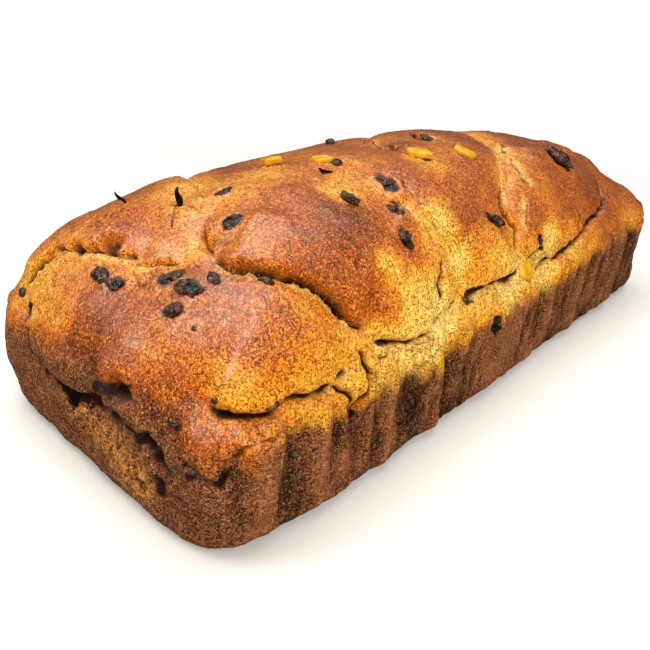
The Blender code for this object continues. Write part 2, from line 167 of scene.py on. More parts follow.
# Creases: depth, width, step, reach, lean, ragged, painted shade, pale, lip and under, then the line, all in
# mm. A point with two numbers lies on the crown, one with three where it says. step lifts the strand
# on the line's left over reach, and lean pushes its shoulder over the groove. ragged wobbles the line,
# the painted shade darkens the crevice, pale tints its torn edge, lip raises a torn rim, and under
# widens the painted shadow.
creaseFields = ("depth", "width", "step", "reach", "lean", "ragged", "dark", "pale", "lip", "under")
creaseRows = {
    "underSecond": [(1.8, 0.8, 2.2, 4, -1.2, 0.8, 0.7, 0.8, 0.5, 0.2),
        (-146, 46, 47), (-138, 36), (-135, 26), (-134, 16), (-132, 4), (-131, -3)],
    "secondToThird": [(1.5, 0.6, 0.4, 4, 0.5, 0.6, 0.7, 0.7, 0.3, 0.2),
        (-133, -1), (-132, -6), (-130, -11), (-128, -17)],
    "flakeLower": [(0.9, 0.5, 0.3, 4, 0.3, 0.5, 0.6, 0.3, 0.4, 0.2),
        (-134, -2), (-135, -6), (-136, -10), (-134, -13)],
    "thirdLip": [(2, 1.3, 2.4, 9, 1, 0.5, 0.6, 0.1, 0, 0.2),
        (-111, -10), (-117, -15), (-121, -20), (-123, -25)],
    "firstToThird": [(2.6, 0.8, 3.6, 9, 1.6, 0.5, 1, 0.8, 0.9, 0.5),
        (-124, -25), (-122, -31), (-117.5, -36.5), (-111.5, -40.5), (-107, -43.5), (-102, -47),
        (-99.5, -50, 60), (-97, -52.5, 57), (-92, -55, 52)],
    "thirdTip": [(3, 0.8, 2.8, 6, 1.2, 0.4, 1, 0.4, 0.3, 0.7),
        (-91, -56, 49), (-85, -56.5, 48), (-81, -57.5, 46), (-75, -58, 44.5), (-69, -58, 43.5),
        (-64, -58, 44), (-60, -57.5, 46), (-57, -57, 47)],
    "thirdTipTorn": [(2.2, 0.75, 1.8, 5, 0.8, 0.9, 0.9, 0.9, 0.6, 0.2),
        (-60, -57.5, 46.5), (-53, -57.5, 47), (-47, -57, 47), (-44, -57, 48)],
    "thirdToFourth": [(2.8, 1.1, -1.6, 7, -1, 0.7, 0.9, 0.6, 0.3, 0.2),
        (-57, -31), (-53, -36), (-52, -41), (-48, -45), (-43, -48)],
    "fourthLeft": [(2.6, 0.9, 1.3, 4, 0.8, 0.6, 0.95, 0.5, 0.3, 0.2),
        (-50, -48), (-51, -51, 58), (-54, -53.5, 55), (-55, -56, 50)],
    "fourthTip": [(3, 0.8, 2.8, 5, 1.1, 0.6, 1, 0.8, 0.5, 0.8),
        (-36, -56.5, 49), (-25, -56.5, 48.5), (-16, -56.5, 48), (-7, -57, 47.5), (-2, -56, 50)],
    "fourthToFifth": [(1.3, 1.6, 1, 6, 0.2, 0.9, 0.3, 0.85, 0.3, 0.2),
        (70, 36), (58, 16), (44, -10), (34, -22), (24, -31), (14, -38), (8, -43), (4, -47)],
    "crownTear": [(1.3, 2.2, 0, 4, 0, 1.2, 0.55, 0.55, 0.5, 0.2),
        (50, -14), (40, -21), (32, -30), (26, -38), (22, -43)],
    "fourthToFifthLow": [(2.8, 1.1, 1.4, 5, 0.4, 0.8, 0.85, 0.2, 0.2, 0.2),
        (12, -37), (6, -41), (1, -44), (2, -48), (4, -50), (0, -54, 55), (-1, -56, 50)],
    "fifthValley": [(0.9, 2.2, 0.4, 5, 0, 0.8, 0.25, 0.6, 0, 0.2),
        (22, -43), (14, -47), (9, -51), (8, -54, 55)],
    "fifthCrevice": [(2.6, 1, 0.8, 4, 0.6, 0.6, 0.9, 0.5, 0.4, 0.2),
        (2, -56, 50), (8, -55.5, 51), (14, -55, 52), (21, -55.5, 51)],
    "fifthToEnd": [(2.8, 1, -1, 8, 0.2, 0.7, 1, 0.25, 0, 0.4),
        (12, -58.5, 44), (20, -58.5, 44.5), (34, -58.5, 45), (48, -57.5, 47), (60, -56, 49),
        (72, -54.5, 52), (82, -53), (92, -51), (97, -47), (100, -43)],
    "firstLower": [(3.4, 0.8, 2.8, 8, 1.5, 0.4, 1, 0.1, 0.3, 0.9),
        (-144.5, -46, 48.5), (-143.5, -49.5, 47.5), (-140, -53.5, 47), (-136, -56, 46), (-132, -57.5, 45.2),
        (-129, -58, 46), (-124, -58, 46.5), (-118, -58.5, 45), (-111, -58.5, 44.5), (-107, -58.5, 45.5),
        (-102, -58, 46.5)],
    "twistMiddle": [(3.4, 0.8, 1, 3, 0.7, 0.3, 1, 0.2, 0, 0.2),
        (-99, -55.5, 50), (-97, -57, 47.5), (-97, -58, 45), (-97, -59, 42), (-98, -60, 39), (-100, -60, 35),
        (-101, -60, 31), (-102, -60, 26)],
    "twistLeft": [(2.8, 0.7, 1, 3, 0.6, 0.3, 0.95, 0.1, 0, 0.2),
        (-110, -58.5, 43), (-107, -59, 41.5), (-104, -60, 39), (-103, -60, 35), (-103, -60, 30)],
    "twistRight": [(1.4, 0.8, -0.8, 3, -0.5, 0.3, 0.5, 0.2, 0, 0.2),
        (-96, -55.5, 50), (-93, -57, 47), (-92.5, -58.5, 43), (-92.5, -60, 38), (-93, -60, 33),
        (-95, -60, 30)],
    "twistTail": [(1.4, 0.6, 0.5, 3, 0.4, 0.3, 0.6, 0, 0, 0.2),
        (-94, -60, 30), (-91, -60, 27), (-89, -60, 23), (-89, -60, 19)],
    "doughButton": [(1.8, 0.6, 1.2, 3, 0.4, 0.2, 0.65, 0.4, 0.2, 0.2),
        (-91, -57, 48), (-92, -57.5, 45.5), (-90, -58, 44), (-87, -58, 43.5), (-84, -58, 44),
        (-83, -57.5, 46)],
    "wallSlit": [(2.2, 0.9, 0.5, 3, 0.4, 0.2, 0.8, 0, 0, 0.2),
        (-63, -60, 31), (-62, -60, 28), (-61.5, -60, 24)],
    "cornerLip": [(1.6, 0.7, 1, 3, 0.6, 0.7, 0.45, 0.5, 0.6, 0.2),
        (-125, -60, 40), (-129, -60, 38.5), (-132, -60, 37), (-135, -59.5, 38), (-139, -58.5, 38.5),
        (-142, -57.5, 37.5), (-144, -56, 36)],
    "cornerTongue": [(2, 0.8, -1.2, 3, -0.9, 0.5, 0.75, 0.2, 0.3, 1.6),
        (-144.5, -56, 35), (-146, -55, 32), (-146.5, -54, 30), (-147.5, -52, 30.5), (-148, -50, 32),
        (-149, -47, 30.5), (-149.5, -44, 31)],
    "cornerCrease": [(-0.5, 0.5, 0.4, 3, 0, 0.3, 0, 0.15, 0, 0.2),
        (-143.5, -57, 33), (-144, -57, 28), (-144.5, -56, 22)],
    "endFold": [(3, 1.6, 1.8, 5, 0.9, 0.4, 1, 0, 0, 2.2),
        (-147, 34, 47), (-149, 33, 41), (-150, 30, 36), (-150, 28.5, 32), (-150, 25, 29.5),
        (-150, 20, 28.5)],
    "flapLower": [(3.2, 1.3, 2.2, 6, 1.1, 0.4, 1, 0, 0, 2.8),
        (-150, 24, 32), (-150, 20, 30.5), (-150, 14, 30), (-150, 8, 29.5), (-150, 2, 29.5),
        (-150, -2, 31.5), (-150, -4, 35)],
    "flapUnder": [(3.4, 1.5, 2.4, 5, 1.2, 0.5, 0.7, 0, 0, 2.6),
        (-150, -5, 38), (-150, -8, 40), (-149.5, -12, 41), (-149, -17, 42), (-148.5, -22, 43.5),
        (-148, -27, 44)],
    "longFold": [(3.2, 1.3, 2, 5, 1.2, 0.4, 0.9, 0, 0, 2.8),
        (-150, -5, 36), (-150, -10, 34), (-150, -17, 34), (-150, -23, 34), (-150, -28, 33.5),
        (-150, -34, 34)],
    "lowFold": [(2.6, 1.2, 1.6, 4, 0.8, 0.4, 0.9, 0, 0, 2.2),
        (-150, -19, 33), (-150, -23, 32), (-150, -27, 30), (-150, -29, 27), (-150, -31, 23),
        (-150, -35, 19), (-150, -38, 15)],
    "sideFold": [(2.4, 1.1, 0.9, 4, 0.6, 0.4, 0.85, 0, 0, 1.6),
        (-150, -34, 34), (-150, -35.5, 30), (-150, -38, 27), (-149.5, -42, 24)],
    "ridgeFold": [(1.6, 0.7, -1.2, 5, 0.4, 0.7, 0.7, 0.2, 0, 0.2),
        (-45, -25), (-47, -33), (-47, -39), (-45, -45)],
    "topNick": [(0.8, 0.5, 0.3, 4, 0.3, 0.2, 0.8, 0, 0, 0.2),
        (-77, -12), (-75, -15), (-73, -19)],
    "topFold": [(1, 0.7, 0.5, 4, 0.4, 0.2, 0.5, 0, 0, 0.2),
        (-46, -22), (-42, -26), (-40, -30)],
    "burntFold": [(2.2, 1, 1.2, 4, 0.8, 0.4, 0.95, 0, 0, 0.2),
        (18, 14), (9, 4), (5, -3), (3, -8)],
    "peelFold": [(1.6, 1, 0.8, 4, 0.5, 0.3, 0.5, 0, 0, 0.2),
        (-12, 4), (-17, -3), (-22, -11)],
    "valleyNick": [(0.8, 0.5, 0.4, 4, 0.2, 0.4, 0.7, 0, 0, 0.2),
        (-113, 3), (-116, 0), (-120, -4), (-123, -8)],
    "valleyFar": [(0.9, 0.7, 0.3, 4, 0.2, 0.5, 0.4, 0.2, 0, 0.2),
        (-106, 0), (-111, -5), (-115, -11)],
    # the side turned away, finished the same way
    "backTear": [(1.8, 0.8, 1.6, 6, 1.1, 0.8, 0.7, 0.5, 0.5, 0.2),
        (-58, 58, 46), (-84, 58, 47.5), (-112, 58, 46), (-134, 56, 47)],
    "backTearFar": [(1.8, 0.8, 1.6, 6, 1.1, 0.8, 0.7, 0.6, 0.5, 0.2),
        (58, 58, 46), (22, 58, 45.5), (-10, 58, 46), (-40, 57.5, 48)],
    "backSecond": [(1.6, 0.9, 1.8, 8, 1.2, 0.6, 0.6, 0.5, 0.5, 0.2),
        (-104, 6), (-97, 20), (-91, 36), (-86, 50), (-84, 57, 48)],
    "backThird": [(1.6, 0.9, 1.6, 8, 1, 0.6, 0.5, 0.5, 0.5, 0.2),
        (-22, 0), (-6, 18), (4, 36), (8, 50), (9, 57, 48)],
    "backFourth": [(1.6, 0.9, 1.4, 7, 0.9, 0.6, 0.5, 0.5, 0.5, 0.2),
        (66, 26), (76, 40), (80, 50), (80, 56, 46)],
    "farEndFold": [(1.6, 0.8, 1.2, 6, 0.8, 0.6, 0.5, 0.2, 0.4, 0.2),
        (128, -20), (136, 2), (140, 22), (147, 34, 42), (150, 37, 30)],
}
creases = {name: dict(zip(creaseFields, row[0]), line=row[1:]) for name, row in creaseRows.items()}


def smoothLine(points, spacing=0.8):
    # a line through the points, evenly stepped
    p = np.array([c if len(c) == 3 else crownPoint(*c) for c in points], float)
    p = np.vstack([2 * p[0] - p[1], p, 2 * p[-1] - p[-2]])
    found = []
    for a, b, c, d in zip(p, p[1:], p[2:], p[3:]):
        steps = max(2, int(np.linalg.norm(c - b) / spacing))
        t = np.linspace(0, 1, steps, endpoint=False)[:, None]
        bend, twist = 2 * a - 5 * b + 4 * c - d, 3 * b - a - 3 * c + d
        found.append(0.5 * (2 * b + (c - a) * t + bend * t**2 + twist * t**3))
    found.append(p[-2:-1])
    return np.concatenate(found)


def lineField(points, normals, line, reach, wobble=None):
    # distance to the line, side of it (+1 left), direction to the left, and place along it in mm
    low, high = line.min(0) - reach, line.max(0) + reach
    near = np.nonzero(np.all((points > low) & (points < high), axis=1))[0]
    if len(near) == 0:
        return near, None, None, None, None, 0
    p = points[near]
    if wobble:
        seed, size = wobble
        ripple = 0.22 * latticeNoise(p, 1.5, seed + 3)
        p = p + np.column_stack([latticeNoise(p, 4.0, seed + k) + ripple for k in range(3)]) * size
    best = np.full(len(near), 1e9)
    offset = np.zeros((len(near), 3))
    heading = np.zeros((len(near), 3))
    place = np.zeros(len(near))
    done = 0.0
    for a, b in zip(line, line[1:]):
        run = b - a
        length = np.linalg.norm(run)
        t = np.clip(((p - a) @ run) / length**2, 0, 1)
        away = p - a - t[:, None] * run
        d = np.linalg.norm(away, axis=1)
        closer = d < best
        best[closer] = d[closer]
        offset[closer] = away[closer]
        heading[closer] = run / length
        place[closer] = done + t[closer] * length
        done += length
    keep = best < reach
    near, best, offset, heading, place = near[keep], best[keep], offset[keep], heading[keep], place[keep]
    left = np.cross(normals[near], heading)
    side = np.where((offset * left).sum(1) >= 0, 1.0, -1.0)
    return near, best, side, left, place, done


# humps: middle, radius along each axis in mm, and height (below zero for a hollow)
swellings = {
    "firstBack": ((-126, -40, 62), (24, 20, 18), 1.0),
    "secondDip": ((-112, 25, 78), (12, 14, 10), -3.4),
    "secondShoulder": ((-121, 33, 73), (10, 12, 10), -1.4),
    "ridgeDip": ((-70, 18, 83), (20, 13, 10), -3.2),
    "farNotch": ((72, -7, 80), (12, 14, 8), -2.8),
    "leftLow": ((-150, 46, 25), (10, 14, 10), 2.0),
    "leftHigh": ((-147, 44, 47), (8, 12, 7), -1.2),
    "cornerFoot": ((-140, -57, 5), (22, 12, 9), -3.0),
    "thirdNose": ((-111, -20, 78), (10, 9, 9), 0.2),
    "thirdSide": ((-84, -40, 68), (22, 12, 14), 1.2),
    "twistStrand": ((-95, -58, 42), (3.4, 6, 10), 2.0),
    "twistStrandOuter": ((-100, -59, 44), (3.0, 6, 7), 1.6),
    "doughButton": ((-87, -57, 46), (3.2, 4, 2.8), 1.4),
    "endFlap": ((-150, 8, 35), (6, 13, 6), 1.6),
    "endFlapLow": ((-150, -20, 38), (6, 12, 4), 1.0),
    "fourthRidge": ((-4, -40, 73), (6, 5, 6), 0.9),
    "fifthTop": ((66, -16, 76), (18, 16, 12), 0.2),
    "firstFlake": ((-133, -7, 66), (3, 6, 4), 0.7),
    "tornLip": ((-134, 13, 64.5), (3, 4, 2.2), 1.0),
    "valleyFill": ((-117, -5, 77), (6, 6, 6), 1.0),
}
# middle, half length, half width, heading in degrees about the skin's normal, depth, and the painted shade
# inside
hollows = {
    "bigBubble": ((-131.9, 10.5, 68.8), 6.5, 2.7, 96, 4.6, 0.55),
    "smallBubble": ((-135.4, 25, 64), 3.2, 1.9, 90, 2.6, 0.55),
    "leftPit": ((-143, 27, 53), 2.0, 0.8, 60, 1.8, 0.6),
    "tearBeside": ((-136, 17, 62.5), 2.6, 1.4, 95, 1.2, 0.1),
    "redHollow": ((-149, -18, 39.5), 7.5, 2.2, 12, 2.2, 0.35),
    "darkHollow": ((-150, -32, 31.5), 3.4, 2.6, 140, 3.0, 0.85),
    "cornerPocket": ((-142, -58, 36), 2.4, 1.2, 10, 1.8, 0.5),
    "tonguePocket": ((-148.5, -46, 32), 1.8, 1.2, 20, 1.6, 0.4),
    "twistPit": ((-100.5, -60, 29), 1.6, 2.2, 0, 2.6, 0.9),
    "noseShadow": ((-119, -24, 75.5), 4.2, 1.4, -60, 1.6, 0.3),
    "burntPit": ((6, -3, 85), 4.5, 1.3, -60, 2.2, 0.95),
    "fifthPit": ((-39.5, -57, 47), 1.4, 1.2, 0, 1.8, 0.9),
}


def frameAt(points, normals, middle, heading):
    # the skin's nearest point to a place, its normal, and a heading in it
    i = np.argmin(((points - middle) ** 2).sum(1))
    n = normals[i]
    along = np.array([0.0, 1, 0]) if abs(n[0]) > 0.9 else np.array([1.0, 0, 0])
    along = along - n * (along @ n)
    along /= np.linalg.norm(along)
    c, s = math.cos(math.radians(heading)), math.sin(math.radians(heading))
    first = along * c + np.cross(n, along) * s
    return points[i], n, first, np.cross(n, first)


def meshArray(obj, what):
    out = np.zeros(len(obj.data.vertices) * 3, np.float32)
    obj.data.vertices.foreach_get(what, out)
    return out.reshape(-1, 3).astype(float)


def meshNormals(obj):
    return meshArray(obj, "normal")


def meshPoints(obj):
    return meshArray(obj, "co")


def putPoints(obj, points):
    obj.data.vertices.foreach_set("co", points.astype(np.float32).ravel())
    obj.data.update()


def putAttribute(obj, name, values):
    layer = obj.data.attributes.new(name, "FLOAT", "POINT")
    layer.data.foreach_set("value", values.astype(np.float32))


# fruit set in the crust, read from the frame: middle, three half sizes and axes
def fruitSeat(node):
    corners = np.array([v.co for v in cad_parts[node].data.vertices]) / mm
    corners = np.unique(np.round(corners, 3), axis=0)
    middle = corners.mean(0)
    axes = np.linalg.eigh(np.cov((corners - middle).T))[1]
    half = np.array([np.abs((corners - middle) @ axes[:, k]).max() for k in range(3)])
    return middle, half, axes


fruitNodes = sorted(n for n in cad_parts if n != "loaf")
fruitSeats = {n: fruitSeat(n) for n in fruitNodes}
fruitShift = {}  # how far each piece of fruit moves with the crust round it, in mm

# how the smooth loaf is pushed in and out, in mm
crustShape = {
    "swell": 3.4,  # of a strand between its seams
    "swellReach": 11.0,
    "seamDepth": 2.3,
    "seamReach": 40.0,  # past this a place counts as farFromSeam
    "farFromSeam": 60.0,
    "pleat": 2.1,
    "sharpPleat": 3.4,
    "finePleat": 1.2,
    "pleatOut": 0.4,
    "endCalm": 0.7,  # share of the pleats that the near end lacks
    "wave": 0.9,
    "blister": 0.22,
    "wallBlister": 0.25,
}
strandSeams = (
    "underSecond", "secondToThird", "thirdLip", "firstToThird", "thirdTip", "thirdTipTorn", "thirdToFourth",
    "fourthTip", "fourthToFifth", "fourthToFifthLow", "fifthToEnd", "firstLower", "backTear", "backTearFar",
    "backSecond", "backThird", "backFourth",
)


def refine(bm, everyPoint):
    # a finer mesh by the creases and round the fruit
    fruit = [seat[0] for seat in fruitSeats.values()]
    tree = KDTree(len(everyPoint) + len(fruit))
    for i, p in enumerate([*everyPoint, *fruit]):
        tree.insert(p, i)
    tree.balance()
    for reach, fruitReach in loafForm["refine"]:
        chosen = set()
        for v in bm.verts:
            if v.co.z < 1.0:
                continue
            spot, i, d = tree.find(v.co)
            if d < reach or (i >= len(everyPoint) and d < fruitReach):
                chosen.add(v)
        edges = [e for e in bm.edges if e.verts[0] in chosen and e.verts[1] in chosen]
        bmesh.ops.subdivide_edges(bm, edges=edges, cuts=1, use_grid_fill=True)
        print("refined to", len(bm.verts), "points")
    bmesh.ops.triangulate(bm, faces=[f for f in bm.faces if 4 < len(f.verts) < 20])
    bm.normal_update()


def strandsAndPleats(points, normals, lines):
    # strands swell between the seams, and the tin creases the wall
    shape = crustShape
    closest = np.full(len(points), shape["farFromSeam"])
    for name in strandSeams:
        near, d = lineField(points, normals, lines[name], shape["seamReach"])[:2]
        closest[near] = np.minimum(closest[near], d)
    x, z = points[:, 0], points[:, 2]
    risen = smooth(33, 45, z)
    swell = (shape["swell"] * (1 - np.exp(-closest / shape["swellReach"])) - shape["seamDepth"]) * risen
    wall = (1 - smooth(36, 50, z)) * smooth(0, 8, z)
    stretched = points * np.array([1, 1, 0.2])
    pleats = layeredNoise(stretched, 10, 3, 3, 0.6) * shape["pleat"]
    pleats -= np.abs(layeredNoise(stretched, 7, 8, 2)) * shape["sharpPleat"]
    pleats -= np.abs(layeredNoise(stretched, 3.6, 12, 2)) * shape["finePleat"]
    pleated = wall * (pleats + shape["pleatOut"]) * (1 - shape["endCalm"] * smooth(0.4, 0.9, -normals[:, 0]))
    soft = layeredNoise(points, 26, 20, 2) * shape["wave"] * risen
    soft += latticeNoise(points, 9, 26) * shape["wave"] * risen * smooth(20, 60, x)
    blister = layeredNoise(points, 5.0, 30, 3, 0.6) * (shape["blister"] + shape["wallBlister"] * (1 - risen))
    push = swell + pleated + soft + blister * smooth(0, 3, z)
    for middle, radius, height in swellings.values():
        r = (((points - np.array(middle)) / np.array(radius)) ** 2).sum(1)
        push += height * np.exp(-r)
    return closest, pleats, push


# what all creases share; lengths in mm
creaseShape = {
    "seed": 17,
    "uneven": (0.65, 1.3),
    "unevenStep": 2.5,
    "grooveEnd": 6,
    "shoulderEnd": 9,
    "shadowEnd": 3,
    "farSide": 0.3,  # how much the other side sinks
    "lipWidth": 0.55,
    "lipAway": 0.9,
    "tornAbove": 0.22,
}


def tapered(place, total, length):
    # fades to nothing at both ends of a line
    return smooth(0, length, place) * smooth(0, length, total - place)


def cutCreases(points, normals, lines, push, shift, dark, torn):
    shape = creaseShape
    draws = np.random.default_rng(shape["seed"])
    for i, (name, c) in enumerate(creases.items()):
        reach, step, lean, width, under = (c[word] for word in ("reach", "step", "lean", "width", "under"))
        wobble = (100 + 4 * i, c["ragged"])
        near, d, side, left, place, total = lineField(points, normals, lines[name], max(4 * reach, 8), wobble)
        if len(near) == 0:
            continue
        ends = tapered(place, total, shape["grooveEnd"])
        rise = side * (np.sign(step) or 1.0) * d
        raised = rise > 0
        marks = np.arange(0, total + 6, shape["unevenStep"])
        uneven = np.interp(place, marks, draws.uniform(*shape["uneven"], len(marks)))
        # the groove, and the shoulder over it
        w = width * (0.45 + 0.55 * ends) * uneven * np.where(rise < 0, 1 + min(under, 1), 1)
        groove = c["depth"] * uneven * np.exp(-((d / w) ** 1.5)) * ends
        shoulder = np.abs(step) * np.exp(-((d / (2.2 * reach)) ** 1.3))
        shoulder = shoulder * tapered(place, total, shape["shoulderEnd"])
        wallside = 1 - np.exp(-((d / (0.55 * w)) ** 2))
        sunk = -shape["farSide"] * shoulder * np.exp(-d / reach)
        push[near] += -groove + np.where(raised, shoulder * wallside, sunk)
        t = d / max(width, 0.7)
        pull = min(1.25 * abs(lean), 0.7 * width) * t * np.exp(1 - t) * ends
        shift[near] += np.where(raised, -pull * side, 0)[:, None] * left
        lip = c["lip"] * np.clip(0.5 + 1.3 * latticeNoise(points[near], 1.7, 140 + i), 0, 1.7)
        push[near] += lip * np.exp(-(((rise + shape["lipAway"] + 0.6 * width) / shape["lipWidth"]) ** 2)) * ends
        # its painted shadow, and its torn edge
        patchy = 0.6 + 0.4 * smooth(-0.6, 0.15, latticeNoise(points[near], 3.4, 180 + i))
        shadow = np.exp(-(((rise + under) / (width * uneven * 0.7 + 0.25 + 0.35 * under)) ** 2))
        shadow = c["dark"] * shadow * patchy * tapered(place, total, shape["shadowEnd"])
        dark[near] = np.maximum(dark[near], shadow)
        lowSide = np.where(raised, shape["tornAbove"], 1.0) if step else 1.0
        edge = lowSide * c["pale"] * np.exp(-((d / (width * 2.0 + 1.6)) ** 2)) * ends
        torn[near] = np.maximum(torn[near], edge)


def cutHollows(points, normals, push, dark):
    for i, (middle, long, wide, heading, depth, hollowShade) in enumerate(hollows.values()):
        spot, normal, first, second = frameAt(points, normals, np.array(middle, float), heading)
        away = points - spot
        uneven = 1 + 0.3 * latticeNoise(points, 2.5, 300 + i)
        r = ((away @ first) / long) ** 2 + ((away @ second) / wide) ** 2 + ((away @ normal) / 8) ** 2
        r = np.sqrt(r) * uneven
        push -= depth * (1 - smooth(0.55, 1.15, r))
        # painted shade inside the hollow
        dark[:] = np.maximum(dark, hollowShade * (1 - smooth(0.6, 1.1, r)))


# how the crust lies round a piece of fruit, in shares of its size, with the gap in mm, and the painted shade
# under its edge
fruitBed = {
    "deep": 0.35,
    "uneven": 0.16,
    "floor": (0.66, 0.92),
    "rim": 0.22,
    "rimAt": 1.22,
    "rimWidth": 0.16,
    "gap": 0.35,
    "gapWidth": 0.1,
    "shadow": 0.7,
}


def seatFruit(points, plain, normals, dark):
    bed = fruitBed
    for i, (name, (middle, half, axes)) in enumerate(fruitSeats.items()):
        d = points - middle
        near = np.nonzero((d**2).sum(1) < (half.max() * 2.6) ** 2)[0]
        if len(near) == 0:
            continue
        normal = normals[near[np.argmin((d[near] ** 2).sum(1))]]
        around = near[((plain[near] - middle) ** 2).sum(1) < (1.5 * np.sort(half)[1] + 1.5) ** 2]
        fruitShift[name] = normal * np.mean((points[around] - plain[around]) @ normal)
        d = points - middle - fruitShift[name]
        lift = d[near] @ normal
        flat = d[near] - lift[:, None] * normal
        r = np.sqrt((((flat @ axes) / half) ** 2).sum(1))
        r = r * (1 + bed["uneven"] * latticeNoise(points[near], 2.4, 400 + i))
        thick = half.min()
        under = np.minimum(lift, -bed["deep"] * thick) - lift
        rim = bed["rim"] * thick * np.exp(-(((r - bed["rimAt"]) / bed["rimWidth"]) ** 2))
        rim -= bed["gap"] * np.exp(-(((r - 1.0) / bed["gapWidth"]) ** 2))
        points[near] += (under * (1 - smooth(*bed["floor"], r)) + rim)[:, None] * normal
        # painted shade under the fruit's edge
        dark[near] = np.maximum(dark[near], bed["shadow"] * (1 - smooth(0.9, 1.08, r)))


def buildLoaf():
    flatPoints, quads, baseRing = smoothLoaf()
    print("loaf grid:", len(flatPoints), "points")
    mesh = bpy.data.meshes.new("loafBread")
    faces = [tuple(q) for q in quads.tolist()] + [tuple(reversed(baseRing.tolist()))]
    mesh.from_pydata(flatPoints.tolist(), [], faces)
    bm = bmesh.new()
    bm.from_mesh(mesh)
    bmesh.ops.recalc_face_normals(bm, faces=bm.faces)
    skin = BVHTree.FromBMesh(bm)
    lines = {}
    for name, c in creases.items():
        lines[name] = np.array([skin.find_nearest(Vector(q))[0] for q in smoothLine(c["line"])])
    refine(bm, np.concatenate(list(lines.values())))
    bm.to_mesh(mesh)
    bm.free()
    loaf = bpy.data.objects.new("loafBread", mesh)
    scene.collection.objects.link(loaf)
    plain, normals = meshPoints(loaf), meshNormals(loaf)
    onCrust = np.where(plain[:, 2] < 0.01, 0, 1)[:, None]
    # painted shade of creases, hollows and fruit rims, then torn edges and sideways moves
    dark, torn, shift = np.zeros(len(plain)), np.zeros(len(plain)), np.zeros((len(plain), 3))
    closest, pleats, push = strandsAndPleats(plain, normals, lines)
    cutCreases(plain, normals, lines, push, shift, dark, torn)
    cutHollows(plain, normals, push, dark)
    points = plain + normals * push[:, None] * onCrust + shift * onCrust
    seatFruit(points, plain, normals, dark)
    points[:, 2] = np.maximum(points[:, 2] * onCrust[:, 0], 0)
    putPoints(loaf, points * mm)
    mesh.shade_smooth()
    return loaf, points, meshNormals(loaf), closest, dark, torn, pleats


loaf, loafPoints, loafNormals, seamDistance, crevice, torn, pleats = buildLoaf()
print("loaf:", len(loafPoints), "points", sum(len(p.vertices) - 2 for p in loaf.data.polygons), "triangles")
